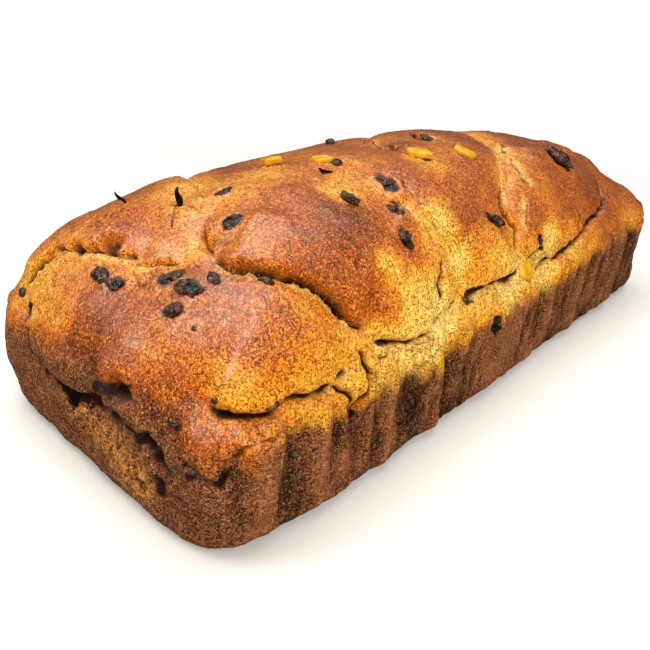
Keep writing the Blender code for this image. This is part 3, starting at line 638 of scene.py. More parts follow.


# how far each part is baked, from 0 pale through golden to 1 dark brown: middle, reach, bake level. The levels
# were fitted to how bright each place looks, so they also paint light and shade: thirdSide and the thirdFlank
# patches are painted shade on the third strand's flank over its seam.
bakeAndShadePatches = {
    "firstTop": ((-140, -12, 58), 12, 0.70),
    "firstTopNear": ((-142, -27, 55), 11, 0.51),
    "firstShoulder": ((-134, -42, 60), 12, 0.63),
    "firstShoulderFar": ((-121, -46, 61), 10, 0.63),
    "firstCrest": ((-126, -36, 67), 9, 0.79),
    "firstFar": ((-112, -46, 63), 7, 0.22),
    "firstSide": ((-141, -50, 50), 7, 0.10),
    "firstSideMiddle": ((-123, -55, 51), 8, 0.46),
    "firstSideFar": ((-105, -55, 52), 9, 0.33),
    "firstEndOrange": ((-146, -8, 49), 9, 0.87),
    "firstEndNear": ((-147, -38, 47), 9, 0.97),
    "firstCorner": ((-144, -52, 43), 8, 0.69),
    "leftGold": ((-142, 30, 55), 12, 0.24),
    "leftGoldLow": ((-147, 29, 47), 9, 0.36),
    "leftGoldInner": ((-140, 17, 58), 8, 0.51),
    "besideFlake": ((-134, -4, 65), 4, 0.30),
    "secondFar": ((-127, 29, 70), 12, 0.56),
    "secondLow": ((-134, 36, 64), 8, 0.62),
    "secondNear": ((-124, 14, 74), 8, 0.78),
    "secondTop": ((-117, 15, 78), 7, 0.34),
    "secondNose": ((-125, -1, 73), 7, 0.67),
    "valley": ((-113, -2, 79), 7, 0.32),
    "valleyLow": ((-119, -11, 76), 6, 0.57),
    "valleyFoot": ((-124, -17, 73), 5, 0.26),
    "valleyTop": ((-106, 8, 82), 8, 0.34),
    "thirdCrest": ((-99, -8, 82), 6, 0.37),
    "thirdCrestFar": ((-83, -3, 84), 7, 0.23),
    "thirdBack": ((-78, -13, 83), 5, 0.55),
    "thirdFar": ((-96, -20, 81), 11, 0.58),
    "thirdNose": ((-110, -21, 78), 7, 0.58),
    "thirdMiddle": ((-91, -34, 75), 11, 0.89),
    # painted shade: thirdSide and the thirdFlank patches darken the third strand's flank over its seam
    "thirdSide": ((-92, -45, 66), 8, 0.79),
    "thirdFlank": ((-108, -38, 71), 5, 0.70),
    "thirdFlankMiddle": ((-104, -44, 67), 5, 0.85),
    "thirdFlankLow": ((-99, -48, 62), 5, 0.73),
    "thirdFlankEnd": ((-94, -51, 58), 4, 0.75),
    "thirdFoot": ((-84, -50, 60), 6, 0.76),
    "thirdPatch": ((-77, -46, 65), 5, 0.05),
    "thirdTip": ((-72, -53, 55), 6, 0.06),
    "thirdTipLow": ((-68, -57, 47), 5, 0.11),
    "thirdTipFar": ((-60, -54, 52), 6, 0.05),
    "thirdBrownFar": ((-64, -38, 74), 7, 0.64),
    "ridgePatch": ((-77, -24, 81), 5, 0.05),
    "ridgePatchFar": ((-65, -18, 82), 6, 0.32),
    "clusterRound": ((-52, -11, 84), 6, 0.36),
    "clusterFar": ((-42, -10, 84), 6, 0.52),
    "ridgeBrown": ((-62, 4, 85), 14, 0.52),
    "behindPeel": ((-24, 2, 85), 8, 0.69),
    "fourthPaleTop": ((-40, -41, 72), 5, 0.07),
    "fourthFoot": ((-48, -46, 65), 6, 0.28),
    "fourthPale": ((-40, -52, 58), 6, 0.05),
    "fourthLow": ((-34, -55, 52), 5, 0.45),
    "fourthMiddle": ((-25, -49, 62), 6, 0.40),
    "fourthGold": ((-19, -54, 53), 6, 0.30),
    "fourthTop": ((-30, -32, 79), 9, 0.68),
    "fourthTopFar": ((-22, -22, 82), 7, 0.17),
    "fourthSide": ((-24, -41, 72), 7, 0.78),
    "fourthRidge": ((-6, -36, 75), 9, 0.69),
    "fourthCrest": ((-8, -14, 83), 8, 0.47),
    "peelGold": ((-8, 4, 85), 5, 0.50),
    "topBurnt": ((-14, -3, 85), 7, 0.87),
    "topFar": ((10, -4, 85), 9, 0.52),
    "topEnd": ((28, -12, 84), 8, 0.77),
    "fifthValley": ((28, -31, 78), 5, 0.60),
    "firstFarLow": ((-110, -50, 58), 6, 0.62),
    "besideRaisin": ((-107, -2, 81), 6, 0.56),
    "topFarther": ((28, -17, 83), 5, 0.82),
    "crownTear": ((34, -28, 79), 7, 0.49),
    "fifthValleyTop": ((39, -22, 81), 6, 0.44),
    "fifthGold": ((16, -48, 63), 7, 0.67),
    "fifthMiddle": ((33, -44, 67), 7, 0.49),
    "fifthGoldLow": ((26, -54, 55), 6, 0.10),
    "fifthBrown": ((57, -38, 71), 13, 0.64),
    "fifthBrownLow": ((75, -48, 60), 8, 0.82),
    "fifthOrange": ((56, -53, 54), 7, 0.68),
    "fifthBrownFar": ((92, -45, 61), 10, 0.85),
    "farGold": ((109, -52, 52), 9, 0.67),
    "farGoldLow": ((112, -57, 44), 8, 0.23),
    "farTop": ((110, -10, 62), 22, 0.74),
    "bandNear": ((-58, -58, 42), 8, 0.05),
    "bandNearest": ((-72, -59, 39), 8, 0.05),
    "bandMiddle": ((-35, -58, 44), 9, 0.20),
    "bandFar": ((-12, -58, 44), 9, 0.05),
    "bandEnd": ((16, -59, 41), 9, 0.09),
    "bandLast": ((50, -58, 45), 9, 0.26),
    "bandFirst": ((-118, -60, 42), 9, 0.22),
    "bandTwist": ((-84, -60, 40), 9, 0.12),
}
# rough places where the skin has torn: middle, reach, strength
tornPatches = {
    "fifthTorn": ((34, -22, 81), 9, 0.8),
    "fifthTornLow": ((25, -33, 77), 6, 0.5),
    "valleyTorn": ((-116, -5, 77), 7, 0.55),
    "flakes": ((-132, -5, 68), 6, 0.7),
    "besideBubble": ((-136, 16, 62), 4, 0.8),
    "leftTorn": ((-147, 34, 50), 8, 0.4),
    "clusterTorn": ((-49, -33, 77), 5, 0.6),
    "bandTorn": ((-18, -57, 47), 7, 0.6),
    "tipTorn": ((-45, -56, 48), 6, 0.6),
    "twistTorn": ((-100, -54, 54), 4, 0.5),
    "firstRim": ((-116, -37, 70), 5, 0.5),
    "farTornLow": ((8, -54, 54), 5, 0.5),
}
# height of the tin's crust along the long side, by place along x, and across the end, by y
tinLine = {
    "side": [
        (-150, 33), (-142, 37), (-130, 38), (-118, 35), (-104, 31), (-91, 34), (-80, 32), (-71, 31),
        (-59, 28.5), (-48, 31.5), (-35, 34), (-22, 36), (-6, 36.5), (10, 34.5), (30, 33.5), (51, 37),
        (73, 40), (93, 42), (133, 37), (150, 34),
    ],
    "end": [(-60, 31), (-47, 32), (-39, 38), (-27, 41), (-9, 42), (12, 40), (29, 37), (47, 34), (60, 32)],
}
# the torn band of crumb low on the near end: foot, top and reach
crumbBand = {"foot": (-150.0, -25, 14), "top": (-150.0, 4, 24), "reach": 8.5}


# how the loaf is baked between the patches, and how its tin crust runs; lengths in mm
paintLook = {
    "wallBake": 0.44,
    "crestBake": 0.32,  # more on the crests, away from the seams
    "ruleWeight": 0.5,
    "patchWeight": 4,
    "warp": 3.2,  # how far noise moves the edges of the patches
    "cloud": 0.08,
    "streak": 0.07,
    "tinWobble": 2.6,
    "tinEdge": (4.6, -3.6),  # height over the tin line where the tin crust starts and is whole
    "toastReach": 7,
    "toastSide": 0.1,  # darker just above the tin line, and more so on the ends
    "toastEnd": 0.25,
    "tinHeals": 0.8,  # share of a torn edge that the tin crust hides
    "tornRough": 1.1,
    "crumbRough": 0.9,
    "steepGlaze": 0.22,
    "calmMiddle": -42,  # along the wall, where its tin crust is darker
    "calmReach": 30,
    "calmShare": 0.3,
}


def patchShare(points, middle, reach):
    return np.exp(-(((points - np.array(middle)) ** 2).sum(1) / reach**2))


def patchedBakeAndShade(p, nrm, warp):
    look = paintLook
    up = smooth(0.1, 0.8, nrm[:, 2])
    rule = look["wallBake"] + look["crestBake"] * up * smooth(2, 18, seamDistance)
    total, weight = rule * look["ruleWeight"], np.full(len(p), look["ruleWeight"])
    for middle, reach, value in bakeAndShadePatches.values():
        w = look["patchWeight"] * patchShare(warp, middle, reach)
        total, weight = total + w * value, weight + w
    strand = p @ np.array([[0.35, 0.9, 0.3], [-0.3, 0.35, 0.2], [0.2, 0.3, 0.9]])
    cloud = look["cloud"] * layeredNoise(p, 14, 520, 3, 0.6)
    return total / weight + (cloud + look["streak"] * layeredNoise(strand, 3.6, 530, 3, 0.7))


def overTinLine(p, onEnd):
    # height of each place over the edge of the tin's crust
    side = np.interp(p[:, 0], *zip(*tinLine["side"]))
    end = np.interp(p[:, 1], *zip(*tinLine["end"]))
    line = side * (1 - onEnd) + end * onEnd
    line = line + paintLook["tinWobble"] * layeredNoise(p * np.array([1, 1, 0.6]), 5, 540, 3, 0.7)
    return p[:, 2] - line


def inCrumbBand(warp):
    foot = np.array(crumbBand["foot"])
    run = np.array(crumbBand["top"]) - foot
    share = np.clip((warp - foot) @ run / (run @ run), 0, 1)
    away = np.linalg.norm(warp - foot - share[:, None] * run, axis=1)
    return np.exp(-((away / crumbBand["reach"]) ** 4))


def paintLoaf():
    p, nrm, look = loafPoints, loafNormals, paintLook
    warp = p + np.column_stack([layeredNoise(p, 9, 500 + k, 3, 0.6) for k in range(3)]) * look["warp"]
    onEnd = smooth(-0.3, 0.3, np.abs(nrm[:, 0]) - np.abs(nrm[:, 1]))
    height = overTinLine(p, onEnd)
    tin = smooth(*look["tinEdge"], height)
    toast = (look["toastSide"] + look["toastEnd"] * onEnd) * smooth(look["toastReach"], 0, height) * (1 - tin)
    crumb = inCrumbBand(warp)
    tornEdge = np.clip(torn * (1 - tin * look["tinHeals"]), 0, 1)
    rough = look["tornRough"] * tornEdge + look["crumbRough"] * crumb * tin
    for middle, reach, strength in tornPatches.values():
        rough = np.maximum(rough, strength * patchShare(warp, middle, reach))
    rough *= smooth(-0.5, 0.5, layeredNoise(p, 3.0, 560, 2))
    plainEnd = smooth(0.5, 0.9, -nrm[:, 0])
    wallDarker = np.exp(-(((p[:, 0] - look["calmMiddle"]) / look["calmReach"]) ** 2)) + smooth(50, 100, p[:, 0])
    # painted shade: the tin crust is darker in the pleats' valleys, and darker again in two stretches of the
    # near long wall
    pleatShade = smooth(-3.2, 0.6, pleats) - look["calmShare"] * wallDarker * (nrm[:, 1] < 0)
    painted = {
        "rough": smooth(0.15, 0.8, rough),
        # the bake level, which also carries the painted light and shade of the patches
        "bake": np.clip(patchedBakeAndShade(p, nrm, warp) + toast, 0, 1),
        "tin": tin,
        "crumb": crumb,
        "fluted": 1 - plainEnd,
        "glazed": look["steepGlaze"] + (1 - look["steepGlaze"]) * smooth(0.35, 0.7, nrm[:, 2]),
        "pleat": pleatShade * (1 - plainEnd) + 0.5 * plainEnd,
        # painted shade of the crevices, hollows and fruit rims
        "crevice": np.clip(crevice, 0, 1),
        "torn": tornEdge,
    }
    for name, values in painted.items():
        putAttribute(loaf, name, values)


paintLoaf()
print("loaf painted")


def tone(red, green, blue):
    # a colour as it is seen, from 0 to 255, in linear light
    def linear(c):
        c /= 255
        return c / 12.92 if c <= 0.04045 else ((c + 0.055) / 1.055) ** 2.4
    return (linear(red), linear(green), linear(blue), 1.0)


def addNode(tree, kind, inputs=None, **settings):
    node = tree.nodes.new(kind)
    for key, value in settings.items():
        setattr(node, key, value)
    for key, value in (inputs or {}).items():
        plug(tree, value, node.inputs[key])
    return node


def plug(tree, value, socket):
    # a field or another node's output is linked, a plain value is set
    value = value.socket if isinstance(value, Field) else value
    if isinstance(value, bpy.types.NodeSocket):
        tree.links.new(value, socket)
    else:
        socket.default_value = value


class Field:
    # a number that varies over a surface, so that sums of fields are written as sums
    def __init__(self, tree, socket):
        self.tree, self.socket = tree, socket

    def math(self, operation, first, second=0.0, clamp=False):
        inputs = {0: first, 1: second}
        node = addNode(self.tree, "ShaderNodeMath", inputs, operation=operation, use_clamp=clamp)
        return Field(self.tree, node.outputs[0])

    def __add__(self, other):
        return self.math("ADD", self, other)

    def __sub__(self, other):
        return self.math("SUBTRACT", self, other)

    def __mul__(self, other):
        return self.math("MULTIPLY", self, other)

    def takenFrom(self, whole):
        return self.math("SUBTRACT", whole, self)

    def most(self, other):
        return self.math("MAXIMUM", self, other)

    def clamped(self):
        return self.math("ADD", self, clamp=True)

    def spread(self, low, high):
        # 0 at low and 1 at high, eased between
        inputs = {"Value": self, "From Min": low, "From Max": high}
        node = addNode(self.tree, "ShaderNodeMapRange", inputs, interpolation_type="SMOOTHSTEP")
        return Field(self.tree, node.outputs[0])


def blendColour(tree, factor, a, b, kind="MIX"):
    node = addNode(tree, "ShaderNodeMix", {0: factor, 6: a, 7: b}, data_type="RGBA", blend_type=kind)
    return node.outputs[2]


def colourRamp(tree, factor, stops):
    node = addNode(tree, "ShaderNodeValToRGB", {"Fac": factor})
    ramp = node.color_ramp
    while len(ramp.elements) < len(stops):
        ramp.elements.new(0.5)
    for element, (place, colour) in zip(ramp.elements, stops):
        element.position, element.color = place, colour
    return node.outputs["Color"]


def attribute(tree, name):
    return Field(tree, addNode(tree, "ShaderNodeAttribute", attribute_name=name).outputs["Fac"])


def objectPlace(tree):
    return addNode(tree, "ShaderNodeTexCoord").outputs["Object"]


def noise(tree, place, scale, detail=2.0, roughness=0.5, distortion=0.0):
    inputs = {"Vector": place, "Scale": scale, "Detail": detail}
    inputs.update({"Roughness": roughness, "Distortion": distortion})
    return Field(tree, addNode(tree, "ShaderNodeTexNoise", inputs).outputs[0])


def newGroup(name, kind, inputs, outputs):
    group = bpy.data.node_groups.new(name, kind)
    for direction, sockets in (("INPUT", inputs), ("OUTPUT", outputs)):
        for label, socketKind in sockets:
            group.interface.new_socket(label, in_out=direction, socket_type="NodeSocket" + socketKind)
    return group, addNode(group, "NodeGroupInput").outputs, addNode(group, "NodeGroupOutput").inputs


def cellTones(tree, place, scale):
    # two even random numbers for each small cell
    cells = addNode(tree, "ShaderNodeTexVoronoi", {"Vector": place, "Scale": scale})
    parts = addNode(tree, "ShaderNodeSeparateColor", {"Color": cells.outputs["Color"]}).outputs
    return Field(tree, parts[0]), Field(tree, parts[1])


def makeGrainGroup():
    # light and dark specks of one size, and the little heights that go with them
    group, given, out = newGroup("fineGrain", "ShaderNodeTree", [("Size mm", "Float"), ("Contrast", "Float")],
                                 [("Shade", "Float"), ("Speck", "Float"), ("Height", "Float")])
    place = objectPlace(group)
    scale = Field(group, given["Size mm"]).math("DIVIDE", 1000.0, given["Size mm"])
    big, bigPick = cellTones(group, place, scale)
    small, smallPick = cellTones(group, place, scale * 1.7)
    cloud = noise(group, place, scale, 2.0, 0.8)
    plug(group, (big * 0.75 + small * 0.85 + cloud - 1.3) * given["Contrast"], out["Shade"])
    plug(group, bigPick.spread(0.84, 0.93) * smallPick.spread(0.3, 0.5), out["Speck"])
    plug(group, (big + small) * 0.4 + cloud, out["Height"])
    return group


fineGrain = makeGrainGroup()


def grains(tree, size, contrast=1.0):
    inputs = {"Size mm": size, "Contrast": contrast}
    outputs = addNode(tree, "ShaderNodeGroup", inputs, node_tree=fineGrain).outputs
    return {name: Field(tree, outputs[name]) for name in ("Shade", "Speck", "Height")}


def newMaterial(name):
    material = bpy.data.materials.new(name)
    material.use_nodes = True
    tree = material.node_tree
    return material, tree, tree.nodes["Principled BSDF"]


def dress(tree, shader, inputs, relief=None, height=0.0, strength=1.0):
    # the shader's inputs, and a relief of so many m
    if relief:
        bump = {"Strength": strength, "Distance": height, "Height": relief}
        inputs = dict(inputs, Normal=addNode(tree, "ShaderNodeBump", bump).outputs[0])
    for key, value in inputs.items():
        plug(tree, value, shader.inputs[key])


crustLook = {
    "pale": tone(244, 202, 104),
    "straw": tone(236, 168, 44),
    "golden": tone(222, 126, 10),
    "orangeBrown": tone(188, 88, 8),
    "reddishBrown": tone(146, 64, 14),
    "darkBrown": tone(92, 40, 16),
    "torn": tone(252, 198, 100),
    "tinLight": tone(156, 94, 58),
    "tinDark": tone(52, 26, 17),
    "crumbGold": tone(224, 146, 72),
    "crumbShadow": tone(92, 50, 24),
    "crumbMiddle": tone(200, 122, 50),
    # light specks of the grain, partly painted glints
    "lightSpeck": tone(255, 204, 84),
    # colour of the painted shade in crevices, hollows and under the fruit
    "crevice": tone(42, 15, 6),
    # where each colour stands from 0 to 1
    "bakeStops": {
        "pale": 0.05, "straw": 0.22, "golden": 0.42,
        "orangeBrown": 0.62, "reddishBrown": 0.82, "darkBrown": 1.0,
    },
    "tinStops": {"tinDark": 0.25, "tinLight": 0.8},
    "crumbStops": {"reddishBrown": 0.28, "crumbMiddle": 0.5, "torn": 0.72},
    "grainSize": 0.45,  # mm
    "mottleScale": 320.0,
    "patchScale": 90.0,
    "streakScale": 480.0,
    "mottleInBake": 0.3,
    "grainInBake": -0.16,
    "gritContrast": 1.1,
    "grainBump": 0.1,
    "reliefHeight": 0.0009,  # m
    # how much of the light specks and painted glints goes on crust and tin
    "speckOnCrust": 0.8,
    "speckOnTin": -0.4,
    # painted shade in the skin's wrinkle lines
    "wrinkleDark": 0.4,
    "sheenRoughness": 0.4,
    "glaze": 1.0,
    "glazeRoughness": 0.31,
}


def rampStops(name):
    return [(place, crustLook[colour]) for colour, place in crustLook[name].items()]


def wrinkleMask(tree, place):
    # thin broken lines where the skin has creased
    turn = {"Vector": place, "Rotation": (0.2, 0.3, 0.9), "Scale": (1.0, 0.45, 0.8)}
    turned = addNode(tree, "ShaderNodeMapping", turn).outputs[0]
    away = noise(tree, turned, 95.0, 3.0, 0.55, 0.6) - 0.5
    return away.math("ABSOLUTE", away).spread(0.012, 0.002) * noise(tree, place, 70.0).spread(0.5, 0.62)


def makeCrustMaterial():
    look = crustLook
    material, tree, shader = newMaterial("bakedCrust")
    place = objectPlace(tree)
    painted = ("bake", "tin", "crevice", "torn", "crumb", "pleat", "fluted", "glazed")
    bake, tin, crevice, pale, crumb, pleat, fluted, glazed = (attribute(tree, name) for name in painted)
    fine, coarse = grains(tree, look["grainSize"]), grains(tree, look["grainSize"] * 2.2, 0.45)
    shade, coarseShade = fine["Shade"], coarse["Shade"]
    mottle = noise(tree, place, look["mottleScale"], 4.0, 0.65)
    patch = noise(tree, place, look["patchScale"], 3.0, 0.6)
    uneven = mottle - 0.5

    # bake level with mottle and grain; the patches' painted light and shade ride on it
    bakeAndShadeLevel = (bake + uneven * look["mottleInBake"] + shade * look["grainInBake"]).clamped()
    crust = colourRamp(tree, bakeAndShadeLevel, rampStops("bakeStops"))
    tall = {0: place, 1: (1.0, 1.0, 0.12)}
    upright = addNode(tree, "ShaderNodeVectorMath", tall, operation="MULTIPLY").outputs["Vector"]
    streak = noise(tree, upright, look["streakScale"], 3.0, 0.7) - 0.5
    # tin crust tone: random patches and streaks, with painted shade in the pleats' valleys
    tinToneAndPleatShade = (patch * 0.5 + pleat * 0.55 + streak * 0.8 * fluted + shade * 0.4).clamped()
    crumbly = (mottle + coarseShade * 0.6).spread(0.3, 0.7)
    golden = blendColour(tree, crumbly, look["crumbShadow"], look["crumbGold"])
    tinned = blendColour(tree, crumb * 0.9, colourRamp(tree, tinToneAndPleatShade, rampStops("tinStops")), golden)
    colour = blendColour(tree, tin, crust, tinned)
    colour = blendColour(tree, (pale + uneven * 0.7).spread(0.15, 0.75), colour, look["torn"])

    grit = ((shade + coarseShade) * look["gritContrast"] + 1.0).most(0.2)
    grey = addNode(tree, "ShaderNodeCombineColor", {0: grit, 1: grit, 2: grit}).outputs[0]
    colour = blendColour(tree, 1.0, colour, grey, "MULTIPLY")
    # light specks: grain of the crust, partly painted glints
    speckGlintMask = (fine["Speck"] + coarse["Speck"] * 0.15).clamped()
    speckGlintMask = speckGlintMask * (tin * look["speckOnTin"] + look["speckOnCrust"])
    speckGlintColour = blendColour(tree, 0.7, colour, look["lightSpeck"], "SCREEN")
    colour = blendColour(tree, speckGlintMask, colour, speckGlintColour)
    wrinkle = wrinkleMask(tree, place)
    # painted shade along the wrinkle lines
    colour = blendColour(tree, wrinkle * look["wrinkleDark"], colour, look["darkBrown"])
    # painted shade in the crevices, hollows and under the fruit
    colour = blendColour(tree, (crevice + shade * 0.15).spread(0.12, 0.7), colour, look["crevice"])

    rough = tin * 0.14 + look["sheenRoughness"] + bakeAndShadeLevel.takenFrom(0.8) * 0.22 + (crevice + pale) * 0.3
    bare = tin.most(crevice.most(pale))
    relief = fine["Height"] * look["grainBump"] + mottle * 0.7 - wrinkle * 0.5
    relief = relief + mottle * 1.6 * crumb.most(tin * 0.3)
    dress(tree, shader, {
        "Base Color": colour,
        "Roughness": rough.clamped(),
        "Specular IOR Level": glazed * (tin * 0.4).takenFrom(1.0),
        "Coat Weight": bare.takenFrom(1.0).clamped() * (glazed * look["glaze"]),
        "Coat Roughness": look["glazeRoughness"],
    }, relief, look["reliefHeight"])
    return material


def makeRaisinMaterial():
    material, tree, shader = newMaterial("raisinSkin")
    grain = grains(tree, 0.9)
    patch = noise(tree, objectPlace(tree), 420.0, 3.0)
    skins = [(0.36, tone(20, 11, 10)), (0.54, tone(52, 27, 20)), (0.68, tone(126, 74, 44))]
    skin = colourRamp(tree, patch, skins)
    colour = blendColour(tree, grain["Speck"] * 0.35, skin, tone(190, 140, 104))
    look = {"Base Color": colour, "Roughness": 0.18, "Specular IOR Level": 1.0,
            "Coat Weight": 0.6, "Coat Roughness": 0.1}
    dress(tree, shader, look, grain["Height"], 0.0012)
    return material


def makePeelMaterial():
    material, tree, shader = newMaterial("candiedPeel")
    grain = grains(tree, 0.7)
    patch = noise(tree, objectPlace(tree), 260.0)
    skins = [(0.3, tone(206, 132, 10)), (0.52, tone(230, 170, 22)), (0.75, tone(244, 204, 84))]
    colour = colourRamp(tree, patch, skins)
    look = {"Base Color": colour, "Roughness": 0.25, "Subsurface Weight": 0.25,
            "Subsurface Radius": (1.0, 0.6, 0.1), "Subsurface Scale": 0.002}
    dress(tree, shader, look, grain["Height"], 0.0003, 0.6)
    return material


def makeSlabMaterial():
    material, tree, shader = newMaterial("burntFruit")
    grain = grains(tree, 0.8)
    colour = blendColour(tree, grain["Speck"], tone(9, 6, 6), tone(24, 18, 18))
    look = {"Base Color": colour, "Roughness": 0.7, "Specular IOR Level": 0.2}
    dress(tree, shader, look, grain["Height"], 0.0003, 0.5)
    return material


def makeCrumbMaterial():
    material, tree, shader = newMaterial("tornCrumb")
    patch = noise(tree, objectPlace(tree), 700.0, 2.0, 0.7)
    dress(tree, shader, {"Base Color": colourRamp(tree, patch, rampStops("crumbStops")), "Roughness": 0.6})
    return material


crustMaterial = makeCrustMaterial()
raisinMaterial = makeRaisinMaterial()
peelMaterial = makePeelMaterial()
slabMaterial = makeSlabMaterial()
loaf.data.materials.append(crustMaterial)
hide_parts("loaf")
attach(loaf, "root")


def unitBall(rounds):
    bm = bmesh.new()
    bmesh.ops.create_icosphere(bm, subdivisions=rounds, radius=1.0)
    points = np.array([v.co for v in bm.verts])
    faces = np.array([[v.index for v in f.verts] for f in bm.faces])
    bm.free()
    return points, faces


ballPoints, ballFaces = unitBall(4)


def meshObject(name, points, faces, material):
    mesh = bpy.data.meshes.new(name)
    mesh.from_pydata((points * mm).tolist(), [], faces.tolist())
    mesh.shade_smooth()
    mesh.materials.append(material)
    obj = bpy.data.objects.new(name, mesh)
    scene.collection.objects.link(obj)
    return obj


def raisinWrinkles(points, seed, wrinkle):
    # folds with sharp valleys, as skin that has shrunk
    pleatShade = 1 - np.abs(latticeNoise(points, wrinkle, seed)) * 1.8
    finer = 1 - np.abs(latticeNoise(points, wrinkle * 0.5, seed + 1)) * 1.8
    return pleatShade + 0.45 * finer


def starRadius(node, middle, directions):
    # distance from the middle to the node's skin along each direction
    bm = bmesh.new()
    bm.from_mesh(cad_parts[node].data)
    tree = BVHTree.FromBMesh(bm)
    bm.free()
    start = Vector(middle * mm)
    found = []
    for d in directions:
        hit = tree.ray_cast(start, Vector(d))
        found.append(hit[3] / mm if hit[0] is not None else 0.5)
    return np.array(found)


def skinNormal(place):
    return loafNormals[np.argmin(((loafPoints - place) ** 2).sum(1))]


def flattened(points, middle, share):
    # thinner through the skin, so the piece lies nearly flush
    normal = skinNormal(middle)
    return points - np.outer((points - middle) @ normal, normal) * (1 - share)


# shares of the piece's own size, and depths in mm
fruitLook = {
    "raisinGrow": 1.06,
    "raisinLumps": 0.4,
    "raisinFlat": 0.72,
    "raisinWrinkle": 1.8,
    "raisinDepth": 0.42,
    "raisinSink": 0.7,
    "peelGrow": {"back": 0.76, "sunk": 0.88, "top": 0.9, "far": 0.95, "edge": 1.3},
    "peelSink": {"back": 0.9, "sunk": 1.3, "top": 0.7, "far": 1.15, "edge": 0.3},
    "peelFlat": 0.55,
    "peelRound": 0.12,
    "slabSink": 1.5,
}


def makeFruit(node, seed):
    look = fruitLook
    words = node.split("_")
    label = words[0] + "".join(word.capitalize() for word in words[1:])
    middle, half, axes = fruitSeats[node]
    reach = starRadius(node, middle, ballPoints)
    middle = middle + fruitShift.get(node, 0)
    points = middle + ballPoints * reach[:, None]
    if node.startswith("candied"):
        ball = (ballPoints @ axes) * half @ axes.T
        grow = look["peelGrow"][words[-1]] * (1 - look["peelRound"])
        points = middle + (points - middle) * grow + ball * look["peelRound"]
        points = flattened(points, middle, look["peelFlat"])
        points -= skinNormal(middle) * look["peelSink"][words[-1]]
        points += ballPoints * (0.10 * layeredNoise(points, 1.6, seed, 2))[:, None]
        obj = meshObject(label, points, ballFaces, peelMaterial)
    elif node.startswith("fruit_slab"):
        points -= skinNormal(middle) * look["slabSink"]
        points += ballPoints * (0.15 * layeredNoise(points, 2.2, seed, 2))[:, None]
        obj = meshObject("burntFruitSlab", points, ballFaces, slabMaterial)
    else:
        lumps = 1 + look["raisinLumps"] * layeredNoise(points, max(half.mean() * 1.1, 1.5), seed, 2)
        points = middle + (points - middle) * (look["raisinGrow"] * lumps)[:, None]
        points = flattened(points, middle, look["raisinFlat"]) - skinNormal(middle) * look["raisinSink"]
        wrinkles = look["raisinDepth"] * (raisinWrinkles(points, seed, look["raisinWrinkle"]) - 0.6)
        points += ballPoints * wrinkles[:, None]
        obj = meshObject(label, points, ballFaces, raisinMaterial)
    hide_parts(node)
    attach(obj, "root")
    return obj


for i, node in enumerate(fruitNodes):
    makeFruit(node, 700 + 7 * i)
print("fruit:", len(fruitNodes))

# crumbs and flakes of torn crust: scattered where the loaf is rough
crumbLook = {"perSquareMm": 1.3, "smallest": 0.35, "largest": 1.1, "seed": 4}


def randomValue(tree, kind, low, high, seed):
    first = 0 if kind == "FLOAT_VECTOR" else 2
    inputs = {first: low, first + 1: high, "Seed": seed}
    return addNode(tree, "FunctionNodeRandomValue", inputs, data_type=kind).outputs[first // 2]


def scaled(tree, vector, scale):
    node = addNode(tree, "ShaderNodeVectorMath", {0: vector, "Scale": scale}, operation="SCALE")
    return node.outputs["Vector"]


def crumbScatterGroup():
    sizes = [(label, "Float") for label in ("Per square mm", "Smallest mm", "Largest mm")]
    group, ask, out = newGroup("crumbScatter", "GeometryNodeTree",
                               [("Geometry", "Geometry"), *sizes, ("Seed", "Int"), ("Material", "Material")],
                               [("Geometry", "Geometry")])
    seed = ask["Seed"]
    named = addNode(group, "GeometryNodeInputNamedAttribute", {"Name": "rough"}, data_type="FLOAT")
    density = Field(group, named.outputs["Attribute"]) * ask["Per square mm"] * (1 / mm**2)
    strewn = {"Mesh": ask["Geometry"], "Density": density, "Seed": seed}
    spots = addNode(group, "GeometryNodeDistributePointsOnFaces", strewn).outputs["Points"]
    ball = addNode(group, "GeometryNodeMeshIcoSphere", {"Radius": 1.0, "Subdivisions": 1}).outputs["Mesh"]
    turn = randomValue(group, "FLOAT_VECTOR", (0, 0, 0), (6.28, 6.28, 6.28), seed)
    size = randomValue(group, "FLOAT", ask["Smallest mm"], ask["Largest mm"], seed)
    shape = randomValue(group, "FLOAT_VECTOR", (0.5, 0.35, 0.15), (1.0, 0.8, 0.45), seed)
    scale = scaled(group, shape, Field(group, size) * (mm / 2))
    placed = {"Points": spots, "Instance": ball, "Rotation": turn, "Scale": scale}
    pieces = addNode(group, "GeometryNodeInstanceOnPoints", placed).outputs[0]
    real = addNode(group, "GeometryNodeRealizeInstances", {"Geometry": pieces}).outputs[0]
    # uneven crumbs
    cloud = addNode(group, "ShaderNodeTexNoise", {"Scale": 1500.0, "Detail": 1.0}).outputs["Color"]
    away = addNode(group, "ShaderNodeVectorMath", {0: cloud, 1: (0.5, 0.5, 0.5)}, operation="SUBTRACT")
    offset = scaled(group, away.outputs["Vector"], 0.6 * mm)
    moved = addNode(group, "GeometryNodeSetPosition", {"Geometry": real, "Offset": offset}).outputs[0]
    inputs = {"Geometry": moved, "Material": ask["Material"]}
    plug(group, addNode(group, "GeometryNodeSetMaterial", inputs).outputs[0], out["Geometry"])
    return group


